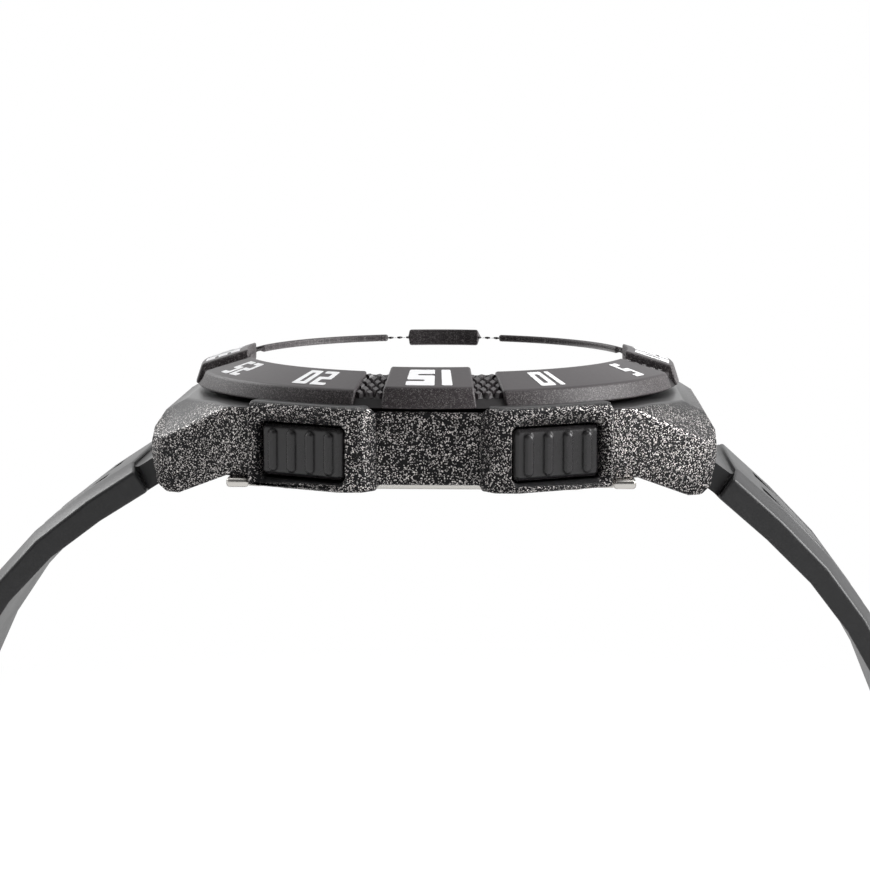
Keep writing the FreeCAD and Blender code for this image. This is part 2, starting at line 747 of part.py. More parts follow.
def make_crystal_parts():
    edge_top = crystal_shelf_height + crystal_edge
    shoulder = bezel_inner_radius - 0.1
    faceted("crystal", round_sides, [
        (0.0, crystal_shelf_height), (crystal_radius, crystal_shelf_height), (crystal_radius, edge_top),
        (shoulder, edge_top), (shoulder, crystal_top - 0.15), (shoulder - 0.15, crystal_top),
        (0.0, crystal_top)])
    inner = around(crystal_radius, hidden_sides)
    outer = crystal_radius + gasket_wall
    faceted("crystal_gasket", hidden_sides, [
        (inner, crystal_shelf_height), (outer, crystal_shelf_height), (outer, edge_top), (inner, edge_top)])


# Pushers

def make_pusher(name, quadrant):
    turn = pusher_turn(quadrant)
    body = new_body(f"pusher_{name}")
    back = cap_face - cap_thickness
    cap = sketch_on(body, "XZ_Plane", back, turn)
    draw_loop(cap, clipped_points(cap_half_width, cap_half_height, cap_corner, 0.0, pusher_height))
    pad(body, cap, cap_thickness)
    direction = axis_vector(quadrant)

    def on_face(edge):
        return all(near(point.dot(direction), cap_face.value) for point in ends(edge))

    bevel(body, on_face, cap_bevel)
    ribs = sketch_on(body, "XZ_Plane", cap_face - 0.05, turn)
    for index in range(int(rib_count.value)):
        place = rib_pitch * (index - (rib_count.value - 1) / 2)
        draw_loop(ribs, clipped_points(rib_width / 2, rib_length / 2, 0.28, place, pusher_height))
    pad(body, ribs, rib_rise + 0.05)
    bevel(body, lambda edge: all(
        near(point.dot(direction), (cap_face + rib_rise).value) for point in ends(edge)), 0.2)
    stem = sketch_on(body, "XZ_Plane", stem_tip, turn)
    draw_circle(stem, stem_radius, 0.0, pusher_height)
    pad(body, stem, back - stem_tip + 0.1)
    half_groove = seal_wire_radius + seal_gap
    groove = sketch_on(body, "XZ_Plane", seal_place + half_groove, turn)
    draw_circle(groove, stem_radius + 0.1, 0.0, pusher_height)
    draw_loop(groove, sided_points(seal_groove_radius, small_sides, 0.0, pusher_height))
    pocket(body, groove, half_groove * 2)
    return body


def axis_vector(quadrant):
    turn = math.radians(pusher_turn(quadrant).value - 90.0)
    return FreeCAD.Vector(math.cos(turn), math.sin(turn), 0)


def shape_part(label, shape):
    """A sub-part whose shape Part's own functions make."""
    feature = doc.addObject("Part::Feature", label)
    feature.Label = label
    feature.Shape = shape
    return feature


def make_pusher_fittings(name, quadrant):
    direction = axis_vector(quadrant)
    centre = FreeCAD.Vector(0, 0, pusher_height.value)
    clip_outer = cavity_radius.value - clip_gap.value
    clip_start = centre + direction * (clip_outer - clip_thickness.value)
    clip = sided_ring(stem_radius.value, clip_radius.value, clip_thickness.value, clip_start, direction)
    shape_part(f"pusher_clip_{name}", clip)
    seal_start = centre + direction * (seal_place - seal_wire_radius).value
    seal = sided_ring(seal_groove_radius.value, stem_radius.value, seal_wire_radius.value * 2, seal_start,
                      direction)
    shape_part(f"pusher_seal_{name}", seal)
    shape_part(f"pusher_spring_{name}", coil_spring(centre, direction))


def round_points(radius, sides, centre, direction):
    """Points round an axis whose polygon has its flats at the radius."""
    across = direction.cross(FreeCAD.Vector(0, 0, 1))
    reach = radius / math.cos(math.pi / sides)
    angles = [2 * math.pi * index / sides for index in range(sides)]
    return [centre + across * (reach * math.cos(angle)) + FreeCAD.Vector(0, 0, reach * math.sin(angle))
            for angle in angles]


def sided_ring(inner, outer, thickness, start, direction):
    """A small hidden ring with twelve sides, clear of the shaft inside it and of the hole round it."""
    sides = 12
    outer_points = round_points(outer * math.cos(math.pi / sides), sides, start, direction)
    inner_points = round_points(inner, sides, start, direction)
    blank = Part.Face(Part.makePolygon(outer_points + outer_points[:1])).extrude(direction * thickness)
    hole = Part.Face(Part.makePolygon(inner_points + inner_points[:1])).extrude(direction * thickness)
    return blank.cut(hole)


def coil_spring(centre, direction):
    """An open coil round a pusher's axis: one unbroken five-sided wire in short straight lengths."""
    floor = pocket_floor.value - spring_well_depth.value
    wire = spring_wire_radius.value
    rise = cap_face.value - cap_thickness.value - floor - wire * 2
    steps_per_turn = 12
    sides = 5
    steps = int(spring_turns.value) * steps_per_turn
    across = direction.cross(FreeCAD.Vector(0, 0, 1))
    rings = []
    for step in range(steps + 1):
        angle = 2 * math.pi * step / steps_per_turn
        radial = across * math.cos(angle) + FreeCAD.Vector(0, 0, math.sin(angle))
        middle = centre + radial * spring_mean_radius.value
        middle += direction * (floor + wire + rise * step / steps)
        rings.append([middle + radial * (wire * math.cos(2 * math.pi * side / sides))
                      + direction * (wire * math.sin(2 * math.pi * side / sides)) for side in range(sides)])
    faces = []
    for first, second in zip(rings, rings[1:]):
        for side in range(sides):
            following = (side + 1) % sides
            faces.append(three_points(first[side], first[following], second[side]))
            faces.append(three_points(first[following], second[following], second[side]))
    faces.append(Part.Face(Part.makePolygon(rings[0] + rings[0][:1])))
    faces.append(Part.Face(Part.makePolygon(rings[-1] + rings[-1][:1])))
    wound = Part.Solid(Part.makeShell(faces))
    if wound.Volume < 0:
        wound.reverse()
    return wound


def three_points(*corners):
    return Part.Face(Part.makePolygon([*corners, corners[0]]))


# Case back

def make_case_back():
    body = new_body("case_back")
    plate = sketch_on(body, "XY_Plane")
    draw_loop(plate, clipped_points(back_half_width, back_half_width, back_corner))
    pad(body, plate, back_thickness)
    bevel(body, lambda edge: all(near(point.z, 0.0) for point in ends(edge)), 0.25)
    heads = sketch_on(body, "XY_Plane")
    shanks = sketch_on(body, "XY_Plane")
    for x, y in four_ways([(screw_offset, screw_offset)]):
        draw_loop(heads, sided_points(around(screw_head_radius + screw_gap, hidden_sides // 3),
                                      hidden_sides // 3, x, y))
        draw_loop(shanks, sided_points(around(screw_radius + screw_gap, small_sides), small_sides, x, y))
    pocket(body, heads, screw_head_height + 0.05, along_normal=True)
    pocket(body, shanks, back_thickness, along_normal=True)
    return body


def make_case_back_screws():
    body = new_body("case_back_screws")
    heads = sketch_on(body, "XY_Plane", 0.05)
    shanks = sketch_on(body, "XY_Plane", 0.1)
    for x, y in four_ways([(screw_offset, screw_offset)]):
        draw_loop(heads, sided_points(screw_head_radius, hidden_sides // 3, x, y))
        draw_loop(shanks, sided_points(screw_radius, small_sides, x, y))
    body.AllowCompound = True
    pad(body, heads, screw_head_height)
    pad(body, shanks, screw_length + 0.4)
    return body


def make_back_seal():
    bottom = back_thickness
    top = back_thickness + back_seal_wire * 1.8
    inner = back_seal_radius - back_seal_wire
    outer = back_seal_radius + back_seal_wire
    inner = around(inner, hidden_sides)
    faceted("case_back_seal", hidden_sides, [(inner, bottom), (outer, bottom), (outer, top), (inner, top)])


# Module

def make_module_housing():
    disc = sided_disc(housing_radius, hidden_sides, housing_bottom, dial_bottom)
    upper = sided_disc(housing_radius - module_wall, hidden_sides, board_bottom, dial_bottom)
    well = around(battery_radius + battery_gap, hidden_sides)
    lower = sided_disc(well, hidden_sides, housing_bottom, housing_floor, battery_x)
    shape_part("module_housing", disc.cut(upper).cut(lower))


def make_electronics():
    board = sided_disc(housing_radius - module_wall - 0.1, hidden_sides, board_bottom,
                       board_bottom + board_thickness)
    shape_part("circuit_board", board)

    # The cell's can, and its smaller cap below it.
    cap_top = housing_bottom + battery_cap
    cell = sided_disc(battery_radius, hidden_sides, cap_top, housing_bottom + battery_thickness, battery_x)
    cap = sided_disc(battery_radius - battery_rim, hidden_sides, housing_bottom, cap_top, battery_x)
    shape_part("battery", cell.fuse(cap))

    clamp = new_body("battery_clamp")
    strip = sketch_on(clamp, "XY_Plane", housing_bottom - clamp_thickness)
    draw_loop(strip, clipped_points(housing_radius - 0.8, clamp_width / 2, 0.8))
    pad(clamp, strip, clamp_thickness)

    shape_part("buzzer", sided_disc(buzzer_radius, hidden_sides, back_thickness,
                                    back_thickness + buzzer_thickness))

    lcd = new_body("lcd_panel")
    glass = sketch_on(lcd, "XY_Plane", dial_bottom - lcd_thickness)
    draw_loop(glass, box_points(lcd_width / 2, lcd_height / 2, 0.0, lcd_y))
    pad(lcd, glass, lcd_thickness)

    strips = new_body("lcd_connector")
    board_top = board_bottom + board_thickness
    rubber = sketch_on(strips, "XY_Plane", board_top)
    draw_loop(rubber, box_points(lcd_width / 2, connector_width / 2, 0.0,
                                 lcd_y - lcd_height / 2 + connector_width / 2))
    pad(strips, rubber, dial_bottom - lcd_thickness - board_top)

    coil = new_body("motor_coil")
    winding = sketch_on(coil, "XZ_Plane", -coil_y - coil_length / 2)
    lift = board_top + stator_thickness + coil_radius
    draw_circle(winding, coil_radius, coil_x, lift)
    draw_circle(winding, coil_core, coil_x, lift)
    pad(coil, winding, coil_length)

    stator = new_body("motor_stator")
    plate = sketch_on(stator, "XY_Plane", board_top)
    draw_loop(plate, box_points(stator_width / 2, stator_length / 2, coil_x, coil_y))
    draw_circle(plate, 0.9, coil_x + stator_width / 4, coil_y)
    pad(stator, plate, stator_thickness)


def train_levels():
    """Heights of the motion work, from the train plate upwards."""
    plate_top = board_bottom + board_thickness + train_plate_thickness
    lower = plate_top + gear_gap
    upper = lower + gear_thickness + gear_gap
    bridge = dial_bottom - bridge_thickness - 0.05
    return plate_top, lower, upper, bridge


def make_train_plates():
    plate_top, lower, upper, bridge = train_levels()
    body = new_body("train_plate")
    span = gear_distance / 2
    half_length = gear_distance / 2 + 2.6
    outline = sketch_on(body, "XY_Plane", board_bottom + board_thickness)
    draw_loop(outline, clipped_points(half_length, 2.6, 0.8, span, 0.0))
    pad(body, outline, train_plate_thickness)
    centre = sketch_on(body, "XY_Plane", plate_top - 0.1)
    draw_circle(centre, post_radius)
    pad(body, centre, dial_bottom + dial_thickness - plate_top)
    side = sketch_on(body, "XY_Plane", plate_top - 0.1)
    draw_circle(side, post_radius, gear_distance, 0.0)
    pad(body, side, bridge - plate_top + 0.1 + bridge_thickness / 2)

    cover = new_body("train_bridge")
    outline = sketch_on(cover, "XY_Plane", bridge)
    draw_loop(outline, clipped_points(half_length, 3.6, 0.8, span, 0.0))
    draw_circle(outline, hour_pipe_radius + 0.15)
    pad(cover, outline, bridge_thickness)
    legs = sketch_on(cover, "XY_Plane", board_bottom + board_thickness)
    for y in (3.1, -3.1):
        draw_loop(legs, sided_points(as_size(0.4), small_sides, span, y))
    pad(cover, legs, bridge - board_bottom - board_thickness + 0.05)
    holes = sketch_on(cover, "XY_Plane", bridge)
    draw_circle(holes, post_radius + 0.02, gear_distance, 0.0)
    pocket(cover, holes, bridge_thickness, along_normal=True)


def gear(teeth, module, bore, first, bottom, thickness):
    """A spur gear with a bore, standing at a height; its first tooth points at the given angle in degrees."""
    pitch_radius = teeth * module / 2
    tip = pitch_radius + module * 0.8
    root = pitch_radius - module * 1.15
    step = 2 * math.pi / teeth
    points = []
    for tooth in range(int(teeth)):
        middle = math.radians(first) + tooth * step
        for radius, share in ((root, -0.30), (tip, -0.11), (tip, 0.11), (root, 0.30)):
            angle = middle + share * step
            points.append(FreeCAD.Vector(radius * math.cos(angle), radius * math.sin(angle), bottom))
    blank = Part.Face(Part.makePolygon(points + points[:1])).extrude(FreeCAD.Vector(0, 0, thickness))
    return blank.cut(Part.makeCylinder(bore, thickness, FreeCAD.Vector(0, 0, bottom)))


def ring(inner, outer, bottom, top):
    base = FreeCAD.Vector(0, 0, bottom)
    return Part.makeCylinder(outer, top - bottom, base).cut(Part.makeCylinder(inner, top - bottom, base))


def make_motion_work():
    plate_top, lower, upper, bridge = (level.value for level in train_levels())
    thickness = gear_thickness.value
    distance = gear_distance.value
    bore = post_radius.value + pivot_clearance.value
    pipe = cannon_pipe_radius.value
    pipe_bore = pipe + pivot_clearance.value
    outer_pipe = hour_pipe_radius.value
    hour_hand_bottom = dial_bottom.value + dial_thickness.value + hand_gap.value
    minute_hand_bottom = hour_hand_bottom + hand_thickness.value + hand_gap.value

    minute_module = 2 * distance / (cannon_teeth.value + minute_wheel_teeth.value)
    hour_module = 2 * distance / (minute_pinion_teeth.value + hour_wheel_teeth.value)
    cannon = gear(cannon_teeth.value, minute_module, bore, 0.0, lower, thickness)
    cannon = cannon.fuse(ring(bore, pipe, lower + thickness, minute_hand_bottom + hand_thickness.value))
    shape_part("cannon_pinion", cannon)

    # A gap between two teeth of the wheel faces the pinion's first tooth.
    half_tooth = 180.0 / minute_wheel_teeth.value
    wheel = gear(minute_wheel_teeth.value, minute_module, bore, 180.0 + half_tooth, lower, thickness)
    pinion = gear(minute_pinion_teeth.value, hour_module, bore, 180.0, lower + thickness,
                  thickness + gear_gap.value)
    minute_wheel = wheel.fuse(pinion)
    minute_wheel.translate(FreeCAD.Vector(distance, 0, 0))
    shape_part("minute_wheel", minute_wheel)

    half_tooth = 180.0 / hour_wheel_teeth.value
    hour_wheel = gear(hour_wheel_teeth.value, hour_module, pipe_bore, half_tooth, upper, thickness)
    hour_wheel = hour_wheel.fuse(ring(pipe_bore, outer_pipe, upper + thickness,
                                      hour_hand_bottom + hand_thickness.value))
    shape_part("hour_wheel", hour_wheel)


def make_hand(label, length, width, bottom, bore, angle):
    """A baton hand that points at an angle, clockwise from 12 o'clock."""
    body = new_body(label)
    blade = sketch_on(body, "XY_Plane", bottom, -angle)
    half = width / 2
    draw_loop(blade, [(-half * 0.55, -hand_tail), (half * 0.55, -hand_tail), (half, length * 0.82),
                      (0.0, length), (-half, length * 0.82)])
    pad(body, blade, hand_thickness)
    hub = sketch_on(body, "XY_Plane", bottom, -angle)
    draw_circle(hub, hub_radius)
    pad(body, hub, hand_thickness)
    hole = sketch_on(body, "XY_Plane", bottom)
    draw_circle(hole, bore)
    pocket(body, hole, hand_thickness, along_normal=True)
    return body


def make_hands():
    hour_bottom = dial_bottom + dial_thickness + hand_gap
    minute_bottom = hour_bottom + hand_thickness + hand_gap
    minute_angle = rest_minutes * 6.0
    hour_angle = rest_hours * 30.0 + rest_minutes * 0.5
    make_hand("hour_hand", hour_hand_length, hour_hand_width, hour_bottom, hour_pipe_radius, hour_angle)
    make_hand("minute_hand", minute_hand_length, minute_hand_width, minute_bottom, cannon_pipe_radius,
              minute_angle)


def make_dial_parts():
    top = dial_bottom + dial_thickness
    disc = sided_disc(dial_radius, round_sides, dial_bottom, top)
    hole = sided_disc(around(hour_pipe_radius + 0.15, small_sides), small_sides, dial_bottom, top)
    half_width = (lcd_width / 2 - window_margin).value
    half_height = (lcd_height / 2 - window_margin).value
    window = Part.makeBox(half_width * 2, half_height * 2, dial_thickness.value,
                          FreeCAD.Vector(-half_width, lcd_y.value - half_height, dial_bottom.value))
    shape_part("dial_plate", disc.cut(hole).cut(window))

    faceted("chapter_ring", round_sides, [
        (chapter_foot_radius, top), (dial_radius, top), (dial_radius, crystal_shelf_height),
        (dial_radius - 0.6, crystal_shelf_height), (chapter_inner_radius, top + 0.35)])

    markers = new_body("hour_markers")
    markers.AllowCompound = True
    for hour in (1, 2, 3, 4, 8, 9, 10, 11, 12):
        sketch = sketch_on(markers, "XY_Plane", top, as_size(-30.0 * hour))
        draw_loop(sketch, box_points(marker_width / 2, marker_length / 2, 0.0, marker_radius))
        pad(markers, sketch, marker_thickness)


# Strap: a moulded band that follows runs and bends

def make_spring_bar(label, side):
    body = new_body(label)
    half = neck_half_width + neck_side_gap - 0.1
    tube = sketch_on(body, "YZ_Plane", -half)
    draw_circle(tube, bar_radius, side * bar_y, bar_height)
    pad(body, tube, half * 2)
    tips = sketch_on(body, "YZ_Plane", -(half + bar_tip_length))
    draw_loop(tips, sided_points(bar_tip_radius, small_sides, side * bar_y, bar_height))
    pad(body, tips, (half + bar_tip_length) * 2)
    return body


class Route:
    """A strap's middle line in the YZ plane: straight runs and bends, from the spring bar outwards."""

    def __init__(self, side, slope):
        self.side = side
        self.pieces = []
        self.y = bar_y.value
        self.z = bar_height.value
        self.slope = slope
        self.length = 0.0

    def run(self, length):
        self.pieces.append(("run", self.length, length, self.y, self.z, self.slope, None))
        turn = math.radians(self.slope)
        self.y += length * math.cos(turn)
        self.z -= length * math.sin(turn)
        self.length += length

    def bend(self, radius, end_slope):
        length = radius * math.radians(end_slope - self.slope)
        self.pieces.append(("bend", self.length, length, self.y, self.z, self.slope, radius))
        start = math.radians(self.slope)
        end = math.radians(end_slope)
        self.y += radius * (math.sin(end) - math.sin(start))
        self.z += radius * (math.cos(end) - math.cos(start))
        self.slope = end_slope
        self.length += length

    def turn_to(self, slope):
        """A crease: the next run leaves at another slope."""
        self.slope = slope

    def frame(self, distance):
        """The point at a distance along the line, its direction and its outward normal."""
        for kind, start, length, y, z, slope, radius in self.pieces:
            if distance <= start + length + 1e-9:
                break
        along = distance - start
        if kind == "run":
            angle = math.radians(slope)
            y += along * math.cos(angle)
            z -= along * math.sin(angle)
        else:
            first = math.radians(slope)
            angle = first + along / radius
            y += radius * (math.sin(angle) - math.sin(first))
            z += radius * (math.cos(angle) - math.cos(first))
        point = FreeCAD.Vector(0, self.side * y, z)
        forward = FreeCAD.Vector(0, self.side * math.cos(angle), -math.sin(angle))
        outward = FreeCAD.Vector(0, self.side * math.sin(angle), math.cos(angle))
        return point, forward, outward

    def stations(self, first, last, step):
        """Distances for the band's sections: the ends of every piece and even steps along the bends."""
        marks = {first, last}
        for kind, start, length, y, z, slope, radius in self.pieces:
            count = 1 if kind == "run" else max(1, round(length / step))
            marks.update(start + length * share / count for share in range(count + 1))
        return sorted(mark for mark in marks if first - 1e-6 <= mark <= last + 1e-6)


def blend_value(start_value, end_value, distance, start, end):
    share = min(1.0, max(0.0, (distance - start) / (end - start)))
    return start_value + (end_value - start_value) * share


def band_section(route, distance, tip_start=None):
    """The strap's section at a distance: flat underneath, upright sides, bevels and a crowned top."""
    point, forward, outward = route.frame(distance)
    half = blend_value(strap_half_width.value, strap_end_half_width.value, distance,
                       strap_start.value, strap_taper_end.value)
    thickness = blend_value(strap_thickness.value, strap_end_thickness.value, distance,
                            strap_start.value, strap_taper_end.value)
    bevel_width = strap_bevel_width.value
    if tip_start is not None and distance > tip_start:
        share = (distance - tip_start) / tip_length.value
        half = tip_half_width.value + (half - tip_half_width.value) * math.sqrt(1.0 - share * share)
        bevel_width = min(bevel_width, half * 0.5)
    low = -thickness / 2
    high = thickness / 2
    side_top = high - strap_bevel_drop.value
    outline = [(-half, low), (half, low), (half, side_top), (half - bevel_width, high),
               (-half + bevel_width, high), (-half, side_top)]
    corners = [point + FreeCAD.Vector(across, 0, 0) + outward * up for across, up in outline]
    return Part.Wire(Part.makePolygon(corners + corners[:1]))


def local_box(route, distance, length, width, bottom, top, across=0.0):
    """A box square to the strap at a distance, between two heights above the middle line."""
    point, forward, outward = route.frame(distance)
    side = forward.cross(outward)
    corner = point - forward * (length / 2) + side * (across - width / 2) + outward * bottom
    corners = [corner, corner + forward * length, corner + forward * length + side * width,
               corner + side * width]
    face = Part.Face(Part.makePolygon(corners + corners[:1]))
    return face.extrude(outward * (top - bottom))


def barrel(route, distance, radius, half_width):
    point = route.frame(distance)[0]
    return Part.makeCylinder(radius, half_width * 2, point - FreeCAD.Vector(half_width, 0, 0),
                             FreeCAD.Vector(1, 0, 0))


def strap_blank(route, last, tip_start=None):
    """Neck, barrel on the spring bar, and the band from the neck to its last section."""
    first = strap_start.value
    marks = route.stations(first, last, strap_section_step.value)
    if tip_start is not None:
        marks = [mark for mark in marks if mark < tip_start]
        marks += [tip_start + tip_length.value * share for share in (0.0, 0.35, 0.62, 0.85, 1.0)]
    band = Part.makeLoft([band_section(route, mark, tip_start) for mark in marks], True, True)
    neck_length = first + 0.5
    neck_low = -strap_thickness.value / 2
    neck = local_box(route, neck_length / 2, neck_length, neck_half_width.value * 2,
                     neck_low, neck_low + neck_thickness.value)
    hinge = barrel(route, 0.0, barrel_radius.value, neck_half_width.value)
    blank = band.fuse([neck, hinge])
    bore = barrel(route, 0.0, (bar_radius + bar_clearance).value, neck_half_width.value + 1.0)
    blank = blank.cut(bore)
    for side in (1, -1):
        trough = local_box(route, recess_start.value + recess_length.value / 2, recess_length.value,
                           recess_width.value, strap_thickness.value / 2 - recess_depth.value,
                           strap_thickness.value + 3.0, side * recess_offset.value)
        blank = blank.cut(trough)
    return blank


def long_route():
    route = Route(-1, long_slope.value)
    route.run(long_straight.value)
    route.bend(long_bend_radius.value, long_bend_end.value)
    route.bend(long_curl_radius.value, 180.0)
    route.run(long_tail.value)
    return route


def short_route():
    route = Route(1, short_neck_slope.value)
    route.run(strap_start.value)
    route.turn_to(short_slope.value)
    route.run(short_straight.value)
    route.bend(short_bend_radius.value, short_bend_end.value)
    route.run(keeper_run.value)
    route.bend(short_curl_radius.value, short_curl_end.value)
    route.run(short_tail.value)
    return route


def make_strap_long():
    route = long_route()
    last = route.length
    shape = strap_blank(route, last, last - tip_length.value)
    for index in range(int(hole_count.value)):
        hole = local_box(route, hole_first.value + index * hole_pitch.value, hole_length.value,
                         hole_width.value, -strap_thickness.value, strap_thickness.value)
        shape = shape.cut(hole)
    shape_part("strap_long", shape)


def make_strap_short():
    route = short_route()
    last = route.length
    shape = strap_blank(route, last)
    eye = barrel(route, last, buckle_barrel_radius.value, strap_end_half_width.value)
    shape = shape.fuse(eye)
    shape = shape.cut(barrel(route, last, (buckle_bar_radius + bar_clearance).value,
                             strap_end_half_width.value + 1.0))
    slot_width = tongue_width.value + tongue_slot_gap.value * 2
    slot = local_box(route, last, tongue_slot_length.value * 2, slot_width, -4.0, 4.0)
    shape_part("strap_short", shape.cut(slot))


def buckle_place():
    """The buckle bar's centre and the floor under the buckle."""
    point = short_route().frame(short_route().length)[0]
    return point, point.z - buckle_barrel_radius.value


def make_buckle():
    bar, floor = buckle_place()
    inner = strap_end_half_width.value + buckle_side_gap.value
    outer = inner + buckle_ear.value
    front = bar.y - buckle_length.value
    back = bar.y - buckle_ear_length.value
    corner = buckle_corner.value
    height = buckle_thickness.value
    radius = buckle_barrel_radius.value
    plan = [(-outer, back), (-outer, front + corner), (-outer + corner, front), (outer - corner, front),
            (outer, front + corner), (outer, back), (inner, back), (inner, front + buckle_front.value),
            (-inner, front + buckle_front.value), (-inner, back)]
    points = [FreeCAD.Vector(x, y, floor) for x, y in plan]
    frame = Part.Face(Part.makePolygon(points + points[:1])).extrude(FreeCAD.Vector(0, 0, height))
    rim = [edge for edge in frame.Edges
           if all(near(point.z, floor + height) for point in ends(edge))
           and not all(near(point.y, back) for point in ends(edge))]
    frame = frame.makeChamfer(buckle_bevel.value, rim)

    # Each ear runs up from the frame and rounds over the bar.
    for start in (-outer, inner):
        foot = FreeCAD.Vector(start, back, floor)
        under = FreeCAD.Vector(start, bar.y, floor)
        behind = FreeCAD.Vector(start, bar.y + radius, bar.z)
        over = FreeCAD.Vector(start, bar.y, bar.z + radius)
        shoulder = FreeCAD.Vector(start, back, floor + height)
        outline = Part.Wire([Part.makeLine(foot, under), Part.Arc(under, behind, over).toShape(),
                             Part.makeLine(over, shoulder), Part.makeLine(shoulder, foot)])
        frame = frame.fuse(Part.Face(outline).extrude(FreeCAD.Vector(buckle_ear.value, 0, 0)))
    bore = Part.makeCylinder(buckle_bar_radius.value + bar_clearance.value, outer * 2 + 2,
                             FreeCAD.Vector(-outer - 1, bar.y, bar.z), FreeCAD.Vector(1, 0, 0))
    shape_part("buckle_frame", frame.cut(bore))

    pin = Part.makeCylinder(buckle_bar_radius.value, outer * 2 - 0.4,
                            FreeCAD.Vector(-outer + 0.2, bar.y, bar.z), FreeCAD.Vector(1, 0, 0))
    shape_part("buckle_bar", pin)

    half = tongue_width.value / 2
    rest = floor + height + tongue_rest_gap.value
    loop_radius = buckle_bar_radius.value + bar_clearance.value + 0.55
    thick = tongue_thickness.value
    side_points = [(bar.y, bar.z + loop_radius), (bar.y - 1.5, rest + thick), (front + 0.2, rest + thick),
                   (front - 0.3, rest + thick * 0.5), (front - 0.3, rest - 0.35), (front - 0.1, rest),
                   (bar.y - 2.5, rest), (bar.y, bar.z)]
    points = [FreeCAD.Vector(-half, y, z) for y, z in side_points]
    blade = Part.Face(Part.makePolygon(points + points[:1])).extrude(FreeCAD.Vector(half * 2, 0, 0))
    loop = Part.makeCylinder(loop_radius, half * 2, FreeCAD.Vector(-half, bar.y, bar.z),
                             FreeCAD.Vector(1, 0, 0))
    tongue = blade.fuse(loop).cut(bore)
    shape_part("buckle_tongue", tongue.removeSplitter())


def make_keeper():
    route = short_route()
    middle = strap_start.value + short_straight.value
    middle += short_bend_radius.value * math.radians(short_bend_end.value - short_slope.value)
    middle += keeper_run.value / 2
    length = keeper_length.value
    wall = keeper_wall.value
    inner = strap_end_half_width.value + keeper_gap.value
    low = -strap_end_thickness.value / 2 - keeper_gap.value
    high = strap_end_thickness.value / 2 + keeper_room.value
    loop = local_box(route, middle, length, (inner + wall) * 2, low - wall, high + wall)
    loop = loop.makeFillet(wall * 0.9, [edge for edge in loop.Edges if near(edge.Length, length)])
    opening = local_box(route, middle, length + 2.0, inner * 2, low, high)
    shape_part("keeper_loop", loop.cut(opening))


# Assembly

make_case_body()
make_bezel_ring()
make_crystal_parts()
for number, clock_place in enumerate(("2", "10", "8", "4")):
    make_pusher(clock_place, number)
    make_pusher_fittings(clock_place, number)
make_case_back()
make_case_back_screws()
make_back_seal()
make_module_housing()
make_electronics()
make_train_plates()
make_motion_work()
make_hands()
make_dial_parts()
make_spring_bar("spring_bar_12", 1)
make_spring_bar("spring_bar_6", -1)
make_strap_long()
make_strap_short()
make_buckle()
make_keeper()
doc.recompute()

# Checks and export
for thing in doc.Objects:
    if "Invalid" in thing.State or "Error" in thing.State:
        raise RuntimeError(f"{thing.Label} ({thing.TypeId}) failed: {thing.State}")
os.makedirs("parts", exist_ok=True)
sub_parts = [thing for thing in doc.Objects if thing.TypeId in ("PartDesign::Body", "Part::Feature")]
for thing in sub_parts:
    shape = thing.Shape
    if shape.isNull() or not shape.isValid() or not shape.Solids:
        raise RuntimeError(f"{thing.Label}: no valid solid")
    shape.exportStep(os.path.join("parts", thing.Label + ".step"))
    print(f"{thing.Label}: {len(shape.Solids)} solids, {shape.Volume:.3f} mm3")
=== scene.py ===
"""Looks of an analog digital sports watch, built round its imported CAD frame."""

import math

import bmesh
import bpy
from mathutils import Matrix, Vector


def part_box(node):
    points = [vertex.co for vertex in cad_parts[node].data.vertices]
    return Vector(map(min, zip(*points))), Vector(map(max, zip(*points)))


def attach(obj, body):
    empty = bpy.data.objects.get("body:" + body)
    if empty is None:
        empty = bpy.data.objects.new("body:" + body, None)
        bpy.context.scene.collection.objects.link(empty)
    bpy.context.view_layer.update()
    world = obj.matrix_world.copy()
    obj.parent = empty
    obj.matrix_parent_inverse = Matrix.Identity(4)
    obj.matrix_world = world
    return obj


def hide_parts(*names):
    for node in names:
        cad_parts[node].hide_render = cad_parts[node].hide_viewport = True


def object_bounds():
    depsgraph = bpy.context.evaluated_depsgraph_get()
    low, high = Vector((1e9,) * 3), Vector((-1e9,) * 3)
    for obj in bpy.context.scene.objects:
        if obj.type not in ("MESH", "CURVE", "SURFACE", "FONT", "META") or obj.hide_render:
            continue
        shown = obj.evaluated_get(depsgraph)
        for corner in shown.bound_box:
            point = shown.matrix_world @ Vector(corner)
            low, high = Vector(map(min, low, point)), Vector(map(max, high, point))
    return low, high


bl_info = {
    "name": "Analog Digital Watch",
    "version": (1, 0, 0),
    "blender": (4, 5, 0),
    "location": "View3D > Sidebar > Watch",
    "description": "Dresses the watch's CAD frame with resin, steel, glass, numerals and a studio",
    "category": "Object",
}

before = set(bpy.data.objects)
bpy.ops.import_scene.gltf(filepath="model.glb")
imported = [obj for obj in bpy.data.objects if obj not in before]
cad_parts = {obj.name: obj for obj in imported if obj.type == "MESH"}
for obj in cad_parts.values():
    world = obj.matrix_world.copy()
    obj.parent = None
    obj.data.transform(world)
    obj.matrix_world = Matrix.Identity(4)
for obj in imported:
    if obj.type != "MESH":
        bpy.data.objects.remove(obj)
CAD_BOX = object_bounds()
MM = 0.001
QUARTER = math.pi / 2
FULL_TURN = 2 * math.pi


# Sizes and colours that a user would change

LARGEST_SIZE = 0.1
BEZEL_BORE = 17.85 * MM


def length(name, description, default):
    """A size in metres."""
    return bpy.props.FloatProperty(name=name, description=description, default=default, min=0.0,
                                   max=LARGEST_SIZE, unit="LENGTH", precision=5)


def colour(name, description, default):
    """A linear colour."""
    return bpy.props.FloatVectorProperty(name=name, description=description, default=default, size=3,
                                         subtype="COLOR", min=0.0, max=1.0)


